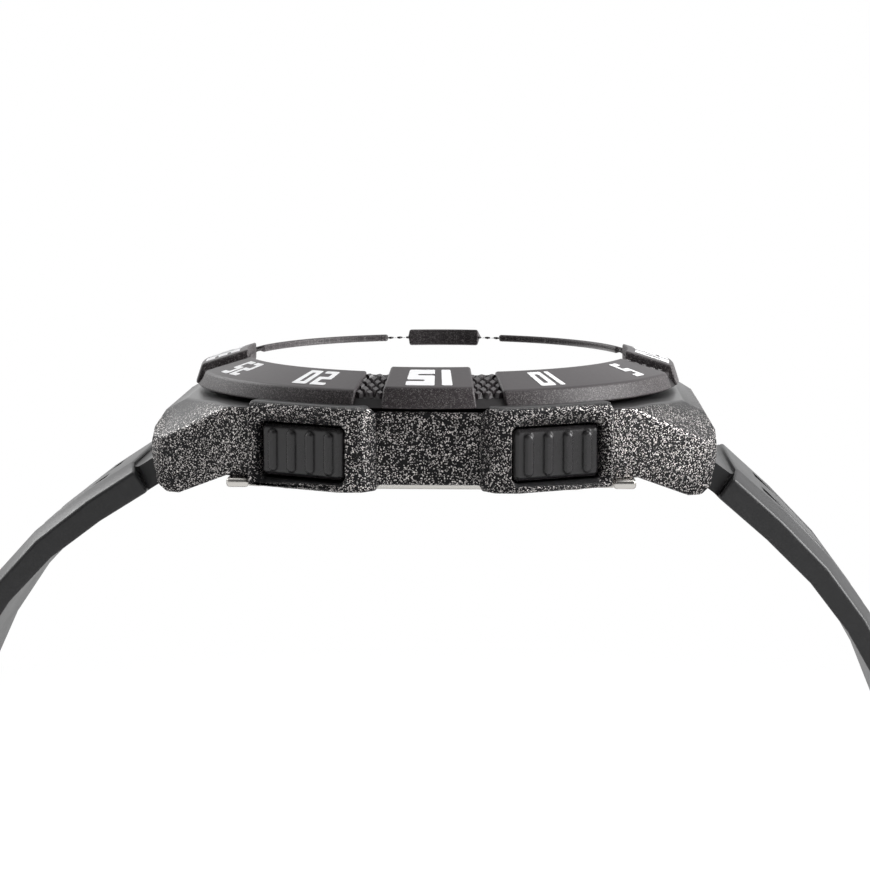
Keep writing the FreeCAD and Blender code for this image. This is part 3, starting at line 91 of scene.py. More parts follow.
class WatchSizes(bpy.types.PropertyGroup):
    """Sizes of the pieces that this script builds"""
    bezel_radius: length("Bezel radius", "Outer radius of the bezel's foot", 22.75 * MM)
    bezel_top_radius: length("Bezel top radius", "Outer radius of the bezel's sloping top", 22.15 * MM)
    bezel_inner_radius: length("Bezel inner radius", "Radius of the bezel's inner rim", BEZEL_BORE)
    bezel_bottom: length("Bezel bottom", "Height of the bezel's lower edge", 7.75 * MM)
    arc_inner_height: length("Arc inner height", "Height of an arc's inner edge", 10.45 * MM)
    arc_outer_height: length("Arc outer height", "Height of an arc's outer edge", 9.2 * MM)
    block_inner_height: length("Block inner height", "Height of a block's inner edge", 10.9 * MM)
    block_outer_height: length("Block outer height", "Height of a block's outer edge", 9.55 * MM)
    land_drop: length("Land drop", "How far the knurled lands lie under the arcs", 0.75 * MM)
    numeral_rise: length("Numeral rise", "How far the numerals stand off the bezel", 0.05 * MM)
    edge_softness: length("Edge softness", "Radius of the bezel's moulded edges", 0.25 * MM)


class WatchColours(bpy.types.PropertyGroup):
    """Colours of the watch's finishes"""
    case_resin: colour("Case resin", "Resin of the case between its flecks", (0.009, 0.009, 0.010))
    # The fleck colour is the resin's own flecks, painted bright as their glints
    fleck: colour("Fleck", "The metallic fleck in the case resin", (0.85, 0.81, 0.79))
    bezel_resin: colour("Bezel resin", "Resin of the bezel", (0.032, 0.027, 0.029))
    strap_resin: colour("Strap resin", "Resin of the strap", (0.02, 0.02, 0.021))
    pusher_resin: colour("Pusher resin", "Resin of the pusher caps", (0.014, 0.013, 0.014))
    numeral_paint: colour("Numeral paint", "Paint of the bezel numerals", (0.82, 0.82, 0.83))
    steel: colour("Steel", "Stainless steel of the back and the buckle", (0.62, 0.60, 0.57))


def sizes():
    """The sizes that the user has set."""
    return bpy.context.scene.watch_sizes


def colours():
    """The colours that the user has set."""
    return bpy.context.scene.watch_colours


# Shader maths

# Places of the colour sockets on a Mix node
MIX_FIRST, MIX_SECOND, MIX_RESULT = 6, 7, 2


class Value:
    """A socket of a material's node tree, so that shader maths reads as Python."""

    def __init__(self, recipe, socket):
        self.recipe = recipe
        self.socket = socket

    def maths(self, operation, *others):
        return self.recipe.node("ShaderNodeMath", {"operation": operation}, self, *others)

    def __add__(self, other):
        return self.maths("ADD", other)

    def __radd__(self, other):
        return self.maths("ADD", other)

    def __sub__(self, other):
        return self.maths("SUBTRACT", other)

    def __rsub__(self, other):
        return self.recipe.node("ShaderNodeMath", {"operation": "SUBTRACT"}, other, self)

    def __mul__(self, other):
        return self.maths("MULTIPLY", other)

    def __rmul__(self, other):
        return self.maths("MULTIPLY", other)

    def __gt__(self, other):
        return self.maths("GREATER_THAN", other)

    def __lt__(self, other):
        return self.maths("LESS_THAN", other)

    def __pow__(self, other):
        return self.maths("POWER", other)


class Recipe:
    """One material, or the world's background, made node by node."""

    def __init__(self, name, owners=None):
        self.material = (bpy.data.materials if owners is None else owners).new(name)
        self.material.use_nodes = True
        self.tree = self.material.node_tree
        self.tree.nodes.clear()
        self.place = self.node("ShaderNodeTexCoord", output="Object")

    def node(self, kind, settings=None, *inputs, output=0, **named):
        """Adds a node, sets it up, then gives its sockets values or links."""
        made = self.tree.nodes.new(kind)
        for key, setting in (settings or {}).items():
            setattr(made, key, setting)
        for key, given in [*enumerate(inputs), *named.items()]:
            socket = made.inputs[key if isinstance(key, int) else key.replace("_", " ")]
            self.feed(socket, given)
        return Value(self, made.outputs[output])

    def feed(self, socket, given):
        """Links a value to a socket, or sets a constant on it."""
        if given is None:
            return
        if isinstance(given, Value):
            self.tree.links.new(given.socket, socket)
        elif socket.type == "RGBA" and len(given) == 3:
            socket.default_value = (*given, 1.0)
        else:
            socket.default_value = given

    def mix(self, factor, first, second):
        """A colour between two colours."""
        made = self.tree.nodes.new("ShaderNodeMix")
        made.data_type = "RGBA"
        made.clamp_factor = True
        self.feed(made.inputs["Factor"], factor)
        self.feed(made.inputs[MIX_FIRST], first)
        self.feed(made.inputs[MIX_SECOND], second)
        return Value(self, made.outputs[MIX_RESULT])

    def spread(self, value, low, high, to_low=0.0, to_high=1.0):
        """A smooth rise from one bound to the other."""
        return self.node("ShaderNodeMapRange", {"interpolation_type": "SMOOTHSTEP"},
                         value, low, high, to_low, to_high)

    def either(self, first, second):
        """The larger of two masks."""
        return self.node("ShaderNodeMath", {"operation": "MAXIMUM"}, first, second)

    def part(self, vector, axis):
        """One part of a vector."""
        return self.node("ShaderNodeSeparateXYZ", None, vector, output=axis)

    def upright(self):
        """How far a face looks up, from -1 to 1."""
        return self.part(self.node("ShaderNodeTexCoord", output="Normal"), "Z")

    def noise(self, scale, detail, roughness=0.5):
        """Soft clouds of a size that scale, per metre, gives."""
        return self.node("ShaderNodeTexNoise", None, Vector=self.place, Scale=scale, Detail=detail,
                         Roughness=roughness)

    def rings(self, radius, scale, detail):
        """Fine lines in circles."""
        return self.node("ShaderNodeTexNoise", {"noise_dimensions": "1D"}, W=radius, Scale=scale,
                         Detail=detail)

    def cells(self, scale):
        """A chance colour for each cell of a foam of a size that scale, per metre, gives."""
        return self.node("ShaderNodeTexVoronoi", None, output="Color", Vector=self.place, Scale=scale)

    def bump(self, height, distance, strength, radius=0.0):
        """A rough surface, with rounded edges where a radius is given."""
        normal = None
        if radius:
            normal = self.node("ShaderNodeBevel", {"samples": 4}, Radius=radius)
        return self.node("ShaderNodeBump", None, Strength=strength, Distance=distance, Height=height,
                         Normal=normal)

    def ray(self, kind):
        """Whether the light path is of a kind."""
        return self.node("ShaderNodeLightPath", output=f"Is {kind} Ray")

    def principled(self, **values):
        return self.node("ShaderNodeBsdfPrincipled", None, **values)

    def finish(self, surface, kind="ShaderNodeOutputMaterial"):
        """Ends the recipe with its output."""
        output = self.tree.nodes.new(kind)
        self.tree.links.new(surface.socket, output.inputs["Surface"])
        return self.material


# Materials

# Flecks, grains and blotches per metre; the flecks are partly painted glints
SMALL_FLECKS, LARGE_FLECKS, BEZEL_FLECKS = 11800.0, 8500.0, 14500.0
RESIN_GRAIN, RESIN_BLOTCHES = 2600.0, 150.0

# Chance over which a cell is a fleck
SMALL_CHANCE, LARGE_CHANCE, BEZEL_CHANCE = 0.80, 0.97, 0.6

# Radius of the rounding that steel edges show
STEEL_EDGE = 0.12 * MM

RUBBER_BLACK = (0.012, 0.012, 0.012)
PRINT_WHITE = (0.75, 0.75, 0.73)
HAND_WHITE = (0.8, 0.8, 0.78)
LUME_WHITE = (0.78, 0.8, 0.72)
DISPLAY_BLACK = (0.012, 0.013, 0.012)
GLASS_CLEAR = (0.97, 0.98, 0.98)
WHITE = (1.0, 1.0, 1.0)


def fleck_resin():
    """Dark resin full of flecks on its walls, painted bright as the glints of their metallic flakes; its
    level tops are smooth.
    """
    r = Recipe("fleck_resin")
    small = r.cells(SMALL_FLECKS)
    large = r.cells(LARGE_FLECKS)
    chance = r.part(small, "X")
    upright = r.upright()
    wall = 1.0 - r.spread(upright, 0.6, 0.84) * 0.95
    # Bright flecks on the walls only: the resin's own flecks, painted bright as the glints of their
    # metallic flakes
    small_flecks_and_glints = (chance > SMALL_CHANCE) * (0.2 + r.part(small, "Y") * 0.8)
    large_flecks_and_glints = (r.part(large, "X") > LARGE_CHANCE) * r.part(large, "Y")
    amount = r.either(small_flecks_and_glints, large_flecks_and_glints) * wall
    dust = r.spread(r.noise(260.0, 3.0), 0.35, 0.75)
    base = r.mix(dust * 0.4, tuple(colours().case_resin), (0.016, 0.015, 0.016))
    tint = r.mix(amount, base, tuple(colours().fleck))
    rough = 0.55 - amount * 0.2 + r.noise(1800.0, 2.0) * 0.08
    normal = r.bump(chance * wall + r.noise(3500.0, 2.0) * 0.3, 0.04 * MM, 0.45)
    return r.finish(r.principled(Base_Color=tint, Roughness=rough, Normal=normal, Coat_Roughness=0.3,
                                 Metallic=r.spread(amount, 0.05, 0.3, 0.0, 0.75),
                                 Coat_Weight=r.spread(upright, 0.6, 0.93, 0.0, 0.8),
                                 Specular_IOR_Level=0.14))


def resin_ground(r, shade, lighter, roughness, grain=RESIN_GRAIN):
    """The fine grain, uneven colour and uneven roughness of moulded resin."""
    fine = r.noise(grain, 3.0, 0.6)
    broad = r.noise(RESIN_BLOTCHES, 3.0)
    patches = r.spread(broad, 0.35, 0.8) * 0.45 + (fine > 0.62) * 0.12
    rough = roughness + (broad - 0.5) * 0.14 + (fine - 0.5) * 0.1
    return fine, r.mix(patches, shade, lighter), rough


def bezel_resin():
    """Satin resin of the bezel: sheen on its slopes, and a faint fleck on its outer wall that is partly
    painted glint.
    """
    r = Recipe("bezel_resin")
    shade = tuple(colours().bezel_resin)
    upright = r.upright()
    wall = 1.0 - r.spread(upright, 0.5, 0.8)
    grain = r.cells(BEZEL_FLECKS)
    # A faint fleck on the walls: the resin's own flecks, painted bright as glints
    fleck = (r.part(grain, "X") > BEZEL_CHANCE) * r.part(grain, "Y") * wall
    fine, ground, rough = resin_ground(r, shade, tuple(c * 1.5 for c in shade), 0.5)
    tint = r.mix(fleck * 0.14, ground, tuple(colours().fleck))
    return r.finish(r.principled(Base_Color=tint, Roughness=rough, Normal=r.bump(fine, 0.02 * MM, 0.6),
                                 Specular_IOR_Level=0.22, Coat_Roughness=0.35,
                                 Coat_Weight=r.spread(upright, 0.6, 0.9, 0.05, 0.4)))


def moulded_resin(name, shade, roughness, grain=RESIN_GRAIN, depth=0.02 * MM, radius=0.0, gloss=0.3):
    """Plain moulded resin with a fine grain and a little unevenness."""
    r = Recipe(name)
    lighter = tuple(min(1.0, c * 1.5 + 0.004) for c in shade)
    fine, tint, rough = resin_ground(r, shade, lighter, roughness, grain)
    normal = r.bump(fine, depth, 0.6, radius)
    return r.finish(r.principled(Base_Color=tint, Roughness=rough, Normal=normal,
                                 Specular_IOR_Level=gloss))


def brushed_metal(name, shade, roughness, along=(900.0, 40.0, 900.0)):
    """Metal with fine brush lines that run along one direction."""
    r = Recipe(name)
    stretched = r.node("ShaderNodeMapping", None, Vector=r.place, Scale=along)
    lines = r.node("ShaderNodeTexNoise", None, Vector=stretched, Scale=6.0, Detail=4.0)
    smudge = r.noise(120.0, 3.0)
    tint = r.mix(r.spread(smudge, 0.3, 0.8) * 0.35 + (lines - 0.5) * 0.3, shade,
                 tuple(c * 0.78 for c in shade))
    rough = roughness + (lines - 0.5) * 0.22 + (smudge - 0.5) * 0.12
    normal = r.bump(lines, 0.01 * MM, 0.5, STEEL_EDGE)
    return r.finish(r.principled(Base_Color=tint, Roughness=rough, Metallic=1.0, Normal=normal))


def clock_radius(r):
    """Distance from the Z axis."""
    x = r.part(r.place, "X")
    y = r.part(r.place, "Y")
    return (x * x + y * y) ** 0.5


def clock_turn(r):
    """Angle about the Z axis, in turns."""
    x = r.part(r.place, "X")
    y = r.part(r.place, "Y")
    return r.node("ShaderNodeMath", {"operation": "ARCTAN2"}, y, x) * (1.0 / FULL_TURN)


def turned_steel():
    """The case back: brush lines in circles round its centre."""
    r = Recipe("turned_steel")
    shade = tuple(colours().steel)
    rings = r.rings(clock_radius(r), 26000.0, 3.0)
    smudge = r.noise(90.0, 3.0)
    tint = r.mix((rings - 0.5) * 0.5 + smudge * 0.25, shade, tuple(c * 0.7 for c in shade))
    rough = 0.27 + (rings - 0.5) * 0.2 + (smudge - 0.5) * 0.1
    normal = r.bump(rings, 0.01 * MM, 0.5, STEEL_EDGE)
    return r.finish(r.principled(Base_Color=tint, Roughness=rough, Metallic=1.0, Normal=normal))


def paint(name, shade, roughness=0.45):
    """Printed or sprayed paint with slightly uneven cover."""
    r = Recipe(name)
    cover = r.noise(2200.0, 3.0, 0.7)
    tint = r.mix(r.spread(cover, 0.5, 0.85) * 0.12, shade, tuple(c * 0.55 for c in shade))
    rough = roughness + (cover - 0.5) * 0.15
    return r.finish(r.principled(Base_Color=tint, Roughness=rough,
                                 Normal=r.bump(cover, 0.008 * MM, 0.5)))


def crystal_glass():
    """Flat mineral glass: clear from above, and a mirror of the studio along its surface."""
    r = Recipe("mineral_glass")
    grazing = r.node("ShaderNodeLayerWeight", None, Blend=0.5, output="Facing")
    wipe = r.noise(60.0, 2.0)
    mirror = r.spread(grazing, 0.62, 0.84, 0.03, 1.0)
    clear = r.node("ShaderNodeBsdfTransparent", None, Color=GLASS_CLEAR)
    gloss = r.principled(Base_Color=WHITE, Metallic=1.0, Roughness=0.02 + wipe * 0.02)
    return r.finish(r.node("ShaderNodeMixShader", None, mirror, clear, gloss))


def ticks(r, radius, turn, count, half_width, low, high):
    """A mask of even ticks round the dial between two radii."""
    cell = r.node("ShaderNodeMath", {"operation": "FRACT"}, turn * count + (count * 2 + 0.5))
    across = r.node("ShaderNodeMath", {"operation": "ABSOLUTE"}, cell - 0.5)
    reach = across * radius * (FULL_TURN / count)
    return (reach < half_width) * (radius > low) * (radius < high)


def dial_print():
    """Black dial turned in fine circles, with a printed minute track."""
    r = Recipe("dial_print")
    radius = clock_radius(r)
    minute = ticks(r, radius, clock_turn(r), 60, 0.09 * MM, 14.3 * MM, 14.9 * MM)
    rings = r.rings(radius, 9000.0, 2.0)
    ground = r.mix(rings, (0.008, 0.008, 0.009), (0.016, 0.016, 0.018))
    return r.finish(r.principled(Base_Color=r.mix(minute, ground, PRINT_WHITE),
                                 Roughness=0.42 + (rings - 0.5) * 0.1,
                                 Normal=r.bump(rings, 0.006 * MM, 0.4), Specular_IOR_Level=0.12))


def chapter_print():
    """The sloping ring round the dial, with minute and hour strokes."""
    r = Recipe("chapter_print")
    radius = clock_radius(r)
    turn = clock_turn(r)
    minute = ticks(r, radius, turn, 60, 0.1 * MM, 15.6 * MM, 16.4 * MM)
    hour = ticks(r, radius, turn, 12, 0.24 * MM, 15.5 * MM, 16.6 * MM)
    grain = r.noise(2400.0, 2.0)
    ground = r.mix(grain, (0.010, 0.010, 0.011), (0.02, 0.02, 0.022))
    tint = r.mix(r.either(minute, hour), ground, PRINT_WHITE)
    return r.finish(r.principled(Base_Color=tint, Roughness=0.45, Normal=r.bump(grain, 0.01 * MM, 0.4),
                                 Specular_IOR_Level=0.12))


def lcd_glass():
    """The grey-green ground of the display."""
    r = Recipe("lcd_glass")
    film = r.noise(500.0, 2.0)
    tint = r.mix(film, (0.23, 0.25, 0.2), (0.27, 0.29, 0.235))
    return r.finish(r.principled(Base_Color=tint, Roughness=0.18 + film * 0.06))


def white_ground(name, shade):
    """White to gloss and through glass, and to the camera where no shadow falls."""
    r = Recipe(name)
    away = r.node("ShaderNodeVectorMath", {"operation": "LENGTH"}, r.place, output="Value")
    far = r.ray("Camera") * r.spread(away, 0.09, 0.2)
    seen = r.either(r.either(r.ray("Glossy"), r.ray("Transmission")), far)
    tint = r.mix(r.noise(4.0, 2.0) * 0.04, shade, tuple(c * 0.98 for c in shade))
    matt = r.principled(Base_Color=tint, Roughness=0.9)
    glow = r.node("ShaderNodeEmission", None, Color=WHITE, Strength=1.0)
    return r.finish(r.node("ShaderNodeMixShader", None, seen, matt, glow))


# Mesh building

# Points nearer than these, in metres, are one point: in a new mesh, and in a copy of a CAD mesh
SAME_POINT = 1e-7
SAME_CAD_POINT = 2e-6

# Degrees under which neighbouring faces of a CAD copy are one flat face
FLAT_ANGLE = 0.8

# How much the size of a face counts in a shared normal, from 1 to 100
AREA_WEIGHT = 80

# Degrees over which an edge is rounded
SHARP_ANGLE = 35.0

# Least length of a rounded edge, as a share of the room that its neighbours need
LEAST_LENGTH = 1.25


def as_piece(name, mesh, material, body, stands_for=(), smooth=30.0, weighted=False):
    """Turns a finished bmesh into a piece that rides on a body and stands for CAD nodes."""
    data = bpy.data.meshes.new(name)
    mesh.to_mesh(data)
    mesh.free()
    data.polygons.foreach_set("use_smooth", [True] * len(data.polygons))
    data.set_sharp_from_angle(angle=math.radians(smooth))
    data.materials.append(material)
    piece = bpy.data.objects.new(name, data)
    bpy.context.scene.collection.objects.link(piece)
    if weighted:
        normals = piece.modifiers.new("even_normals", "WEIGHTED_NORMAL")
        normals.keep_sharp = True
        normals.weight = AREA_WEIGHT
    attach(piece, body)
    if stands_for:
        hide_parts(*stands_for)


def dress(node, material):
    """Gives a carried-over CAD node its material."""
    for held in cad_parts[node].material_slots:
        held.material = material


def spun(mesh, profile, start, sweep, steps):
    """Spins an outline of radii and heights about Z, round a full turn or with both ends capped."""
    corners = [mesh.verts.new((radius * math.cos(start), radius * math.sin(start), height))
               for radius, height in profile]
    face = mesh.faces.new(corners)
    if sweep >= FULL_TURN:
        edges = face.edges[:]
        mesh.faces.remove(face)
        bmesh.ops.spin(mesh, geom=corners + edges, cent=(0, 0, 0), axis=(0, 0, 1), dvec=(0, 0, 0),
                       angle=sweep, steps=steps, use_merge=True, use_duplicate=False)
    else:
        bmesh.ops.spin(mesh, geom=[*corners, *face.edges, face], cent=(0, 0, 0), axis=(0, 0, 1),
                       dvec=(0, 0, 0), angle=sweep, steps=steps, use_duplicate=False)
    closed(mesh)


def closed(mesh):
    """Joins points that meet, and turns the faces outwards."""
    bmesh.ops.remove_doubles(mesh, verts=mesh.verts, dist=SAME_POINT)
    bmesh.ops.recalc_face_normals(mesh, faces=mesh.faces)


def added_verts(made):
    """The new points that an extrusion gives."""
    return [item for item in made["geom"] if isinstance(item, bmesh.types.BMVert)]


def soften(mesh, width, sharper_than, segments, clamp=True, room=0.0):
    """Rounds the edges of a mesh that are sharper than an angle, where their neighbours leave room."""
    sharp = []
    for edge in mesh.edges:
        if not edge.is_manifold or edge.calc_face_angle(0.0) < math.radians(sharper_than):
            continue
        near = [other.calc_length() for vert in edge.verts for other in vert.link_edges
                if other is not edge]
        if edge.calc_length() > room * LEAST_LENGTH and min(near) > room:
            sharp.append(edge)
    bmesh.ops.bevel(mesh, geom=sharp, offset=width, offset_type="OFFSET", affect="EDGES",
                    segments=segments, profile=0.5, clamp_overlap=clamp, material=-1)


def merged_copy(node):
    """A closed copy of a CAD node's mesh, with flat areas as single faces."""
    mesh = bmesh.new()
    mesh.from_mesh(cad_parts[node].data)
    bmesh.ops.remove_doubles(mesh, verts=mesh.verts, dist=SAME_CAD_POINT)
    bmesh.ops.dissolve_degenerate(mesh, edges=mesh.edges, dist=SAME_POINT)
    bmesh.ops.recalc_face_normals(mesh, faces=mesh.faces)
    bmesh.ops.dissolve_limit(mesh, angle_limit=math.radians(FLAT_ANGLE), verts=mesh.verts,
                             edges=mesh.edges, delimit=set())
    return mesh


def softened(node, name, material, body, width, segments=2, reach=1.6, smooth=44.0):
    """Stands a soft-edged copy in for a CAD node."""
    mesh = merged_copy(node)
    soften(mesh, width, SHARP_ANGLE, segments, clamp=False, room=width * reach)
    as_piece(name, mesh, material, body, (node,), smooth=smooth, weighted=True)


# Plain block numerals on a grid three strokes wide and five strokes high

STROKES = {
    "0": ("111", "101", "101", "101", "111"),
    "1": ("1", "1", "1", "1", "1"),
    "2": ("111", "001", "111", "100", "111"),
    "3": ("111", "001", "111", "001", "111"),
    "4": ("101", "101", "111", "001", "001"),
    "5": ("111", "100", "111", "001", "111"),
    "6": ("111", "100", "111", "101", "111"),
    "7": ("111", "001", "001", "001", "001"),
    "8": ("111", "101", "111", "101", "111"),
    "9": ("111", "101", "111", "001", "111"),
}

# Width of a space, as a share of a numeral's width
SPACE_SHARE = 0.75

# Share of a numeral's thickness that is sunk into what carries it
SUNK_SHARE = 0.4


def numeral_plan(text, height, width, stroke, gap):
    """Filled cells of a line of numerals, as (low x, low y, high x, high y), centred on zero."""
    bars = (height - 3 * stroke) / 2
    rows = [stroke, bars, stroke, bars, stroke]
    plan = []
    x = 0.0
    for character in text:
        if character == " ":
            x += width * SPACE_SHARE
            continue
        pattern = STROKES[character]
        columns = [stroke] if len(pattern[0]) == 1 else [stroke, width - 2 * stroke, stroke]
        top = height / 2
        for row, tall in zip(pattern, rows):
            left = x
            for mark, wide in zip(row, columns):
                if mark == "1":
                    plan.append((left, top - tall, left + wide, top))
                left += wide
            top -= tall
        x += sum(columns) + gap
    half = (x - gap) / 2
    return [(x0 - half, y0, x1 - half, y1) for x0, y0, x1, y1 in plan]


def numeral_mesh(mesh, text, height, width, stroke, gap, rise, corner, place):
    """Numerals with rounded corners, standing off a surface that place(x, y, up) describes."""
    block = bmesh.new()
    for x0, y0, x1, y1 in numeral_plan(text, height, width, stroke, gap):
        block.faces.new([block.verts.new(point) for point in
                         ((x0, y0, 0), (x1, y0, 0), (x1, y1, 0), (x0, y1, 0))])
    bmesh.ops.remove_doubles(block, verts=block.verts, dist=stroke * 0.01)
    raised = bmesh.ops.extrude_face_region(block, geom=block.faces[:])
    bmesh.ops.translate(block, verts=added_verts(raised), vec=(0, 0, rise))
    bmesh.ops.recalc_face_normals(block, faces=block.faces)
    corners = [edge for edge in block.edges
               if abs(edge.verts[0].co.z - edge.verts[1].co.z) > rise * 0.5
               and edge.calc_face_angle(0.0) > QUARTER * 0.5]
    bmesh.ops.bevel(block, geom=corners, offset=corner, offset_type="OFFSET", affect="EDGES", segments=3,
                    profile=0.5, clamp_overlap=True, material=-1)
    for vert in block.verts:
        vert.co = place(vert.co.x, vert.co.y, vert.co.z - rise * SUNK_SHARE)
    bmesh.ops.recalc_face_normals(block, faces=block.faces)
    data = bpy.data.meshes.new("numeral")
    block.to_mesh(data)
    block.free()
    mesh.from_mesh(data)
    bpy.data.meshes.remove(data)


# Case and bezel

CASE_EDGE = 0.26 * MM

# Half the width of a block and the place of an arc's end at the bore, and their growth with the radius
BLOCK_HALF_WIDTH, BLOCK_FLARE = 3.45 * MM, 0.06
ARC_END, ARC_FLARE = 5.55 * MM, 0.15

# Sideways slope of the ends of arcs and blocks
END_DRAFT = 0.12

# Radius and height of the step in the bezel's underside, and the height of the skirt round it
STEP_RADIUS, STEP_HEIGHT, SKIRT_BOTTOM = 19.7 * MM, 9.05 * MM, 7.35 * MM

# How far the base's wall, its foot and its skirt, and an arc's foot, lie inside the bezel's radius
WALL_INSET, FOOT_INSET, SKIRT_INSET, ARC_FOOT_INSET = 0.2 * MM, 1.4 * MM, 1.7 * MM, 1.2 * MM

# Steps that the base, an arc and a block are spun in
BASE_STEPS, ARC_STEPS, BLOCK_STEPS = 144, 36, 12

# Angles of an arc's end and a block's side from the block's middle, before set_end moves them
ARC_ANGLE, BLOCK_ANGLE = math.radians(18.2), math.radians(9.4)

# Softness of a block's edges, as a share of the arcs'
BLOCK_SOFTNESS = 0.8

# How far the lands end inside the bezel's top radius
LAND_INSET = 0.15 * MM

# How far the knurling ends inside the bezel's top radius, and outside its bore
KNURL_INSET, KNURL_BORE_GAP = 0.2 * MM, 0.02 * MM

# A diamond's blunt top as a share of its foot, its height as a share of the lands' drop, and its root
DIAMOND_TOP, DIAMOND_HEIGHT, DIAMOND_ROOT = 0.58, 0.72, 0.06 * MM

# Degrees over which the bezel's edges are rounded, and under which they are shaded smooth
BEZEL_SHARP, BEZEL_SMOOTH = 32.0, 40.0


class WATCH_OT_case(bpy.types.Operator):
    """Softens the edges of the resin case and gives it its flecked finish, whose bright flecks are
    partly painted glints
    """
    bl_idname = "watch.case"
    bl_label = "Case body"

    def execute(self, context):
        softened("case_body", "case_shell", fleck_resin(), "case", CASE_EDGE, 3)
        return {"FINISHED"}


def block_side(radius):
    """Half the width of a numbered block at a radius."""
    return BLOCK_HALF_WIDTH + (radius - BEZEL_BORE) * BLOCK_FLARE


def arc_side(radius):
    """Where an arc ends, across from the middle of its block."""
    return ARC_END + (radius - BEZEL_BORE) * ARC_FLARE


def set_end(mesh, at, middle, side, across, top):
    """Moves one end of an arc to a line beside the block at middle, with a little draft."""
    for vert in mesh.verts:
        radius = math.hypot(vert.co.x, vert.co.y)
        turn = math.atan2(vert.co.y, vert.co.x) - at
        if abs((turn + math.pi) % FULL_TURN - math.pi) < 1e-4:
            width = across(radius) + max(0.0, top - vert.co.z) * END_DRAFT
            place = middle + side * math.asin(width / radius)
            vert.co.x = radius * math.cos(place)
            vert.co.y = radius * math.sin(place)


class WATCH_OT_bezel(bpy.types.Operator):
    """Builds the bezel with its arcs, numbered blocks and knurled lands"""
    bl_idname = "watch.bezel"
    bl_label = "Bezel"

    def execute(self, context):
        s = sizes()
        inner, top, foot, low = s.bezel_inner_radius, s.bezel_top_radius, s.bezel_radius, s.bezel_bottom
        mesh = bmesh.new()
        spun(mesh, [(inner, STEP_HEIGHT), (inner, s.arc_inner_height - s.land_drop),
                    (top - LAND_INSET, s.arc_outer_height - s.land_drop), (foot - WALL_INSET, low),
                    (foot - FOOT_INSET, low), (foot - SKIRT_INSET, SKIRT_BOTTOM),
                    (STEP_RADIUS, SKIRT_BOTTOM), (STEP_RADIUS, STEP_HEIGHT)],
             0.0, FULL_TURN, BASE_STEPS)
        # The bezel's base and lands are its own resin painted darker, as painted shade in the grooves
        # between the knurled diamonds
        painted_groove_shade = tuple(c * 0.3 for c in colours().bezel_resin)
        land_painted_shade = moulded_resin("bezel_land_painted_shade", painted_groove_shade, 0.55)
        as_piece("bezel_base", mesh, land_painted_shade, "case", ("bezel_ring",))
        resin = bezel_resin()
        for index in range(4):
            middle = index * QUARTER
            following = middle + QUARTER
            arc = self.spin_part(s.arc_inner_height, s.arc_outer_height, middle + ARC_ANGLE,
                                 QUARTER - 2 * ARC_ANGLE, ARC_STEPS)
            set_end(arc, middle + ARC_ANGLE, middle, 1, arc_side, s.arc_inner_height)
            set_end(arc, following - ARC_ANGLE, following, -1, arc_side, s.arc_inner_height)
            soften(arc, s.edge_softness, BEZEL_SHARP, 3)
            as_piece(f"bezel_arc_{index + 1}", arc, resin, "case",
                     smooth=BEZEL_SMOOTH, weighted=True)
            block = self.spin_part(s.block_inner_height, s.block_outer_height, middle - BLOCK_ANGLE,
                                   2 * BLOCK_ANGLE, BLOCK_STEPS)
            for side in (-1, 1):
                at = middle + side * BLOCK_ANGLE
                set_end(block, at, middle, side, block_side, s.block_inner_height)
            soften(block, s.edge_softness * BLOCK_SOFTNESS, BEZEL_SHARP, 3)
            as_piece(f"bezel_block_{index + 1}", block, resin, "case",
                     smooth=BEZEL_SMOOTH, weighted=True)
        return {"FINISHED"}

    def spin_part(self, inner_height, outer_height, start, sweep, steps):
        """The rough mesh of an arc or a block, whose ends still point at the middle."""
        s = sizes()
        mesh = bmesh.new()
        spun(mesh, [(s.bezel_inner_radius, STEP_HEIGHT), (s.bezel_inner_radius, inner_height),
                    (s.bezel_top_radius, outer_height), (s.bezel_radius, s.bezel_bottom),
                    (s.bezel_radius - ARC_FOOT_INSET, s.bezel_bottom), (STEP_RADIUS, STEP_HEIGHT)],
             start, sweep, steps)
        return mesh


def land_height(radius, s):
    """Height of the land's slope at a radius."""
    share = (radius - s.bezel_inner_radius) / (s.bezel_top_radius - LAND_INSET - s.bezel_inner_radius)
    return s.arc_inner_height - s.land_drop + (s.arc_outer_height - s.arc_inner_height) * share


def diamond(mesh, middle, side, across, radius, half_wide, half_long, s):
    """One blunt four-sided point of the knurling, with its foot in the land."""
    point = bmesh.ops.create_cone(mesh, cap_ends=True, segments=4, radius1=1.0, radius2=DIAMOND_TOP,
                                  depth=1.0)
    inner = s.bezel_inner_radius + KNURL_BORE_GAP
    outer = s.bezel_top_radius - KNURL_INSET
    for vert in point["verts"]:
        out = min(outer, max(inner, radius + vert.co.y * half_long))
        place = middle + side * math.asin((across + vert.co.x * half_wide) / out)
        rise = (vert.co.z + 0.5) * (s.land_drop * DIAMOND_HEIGHT)
        height = land_height(out, s) - DIAMOND_ROOT + rise
        vert.co = (out * math.cos(place), out * math.sin(place), height)


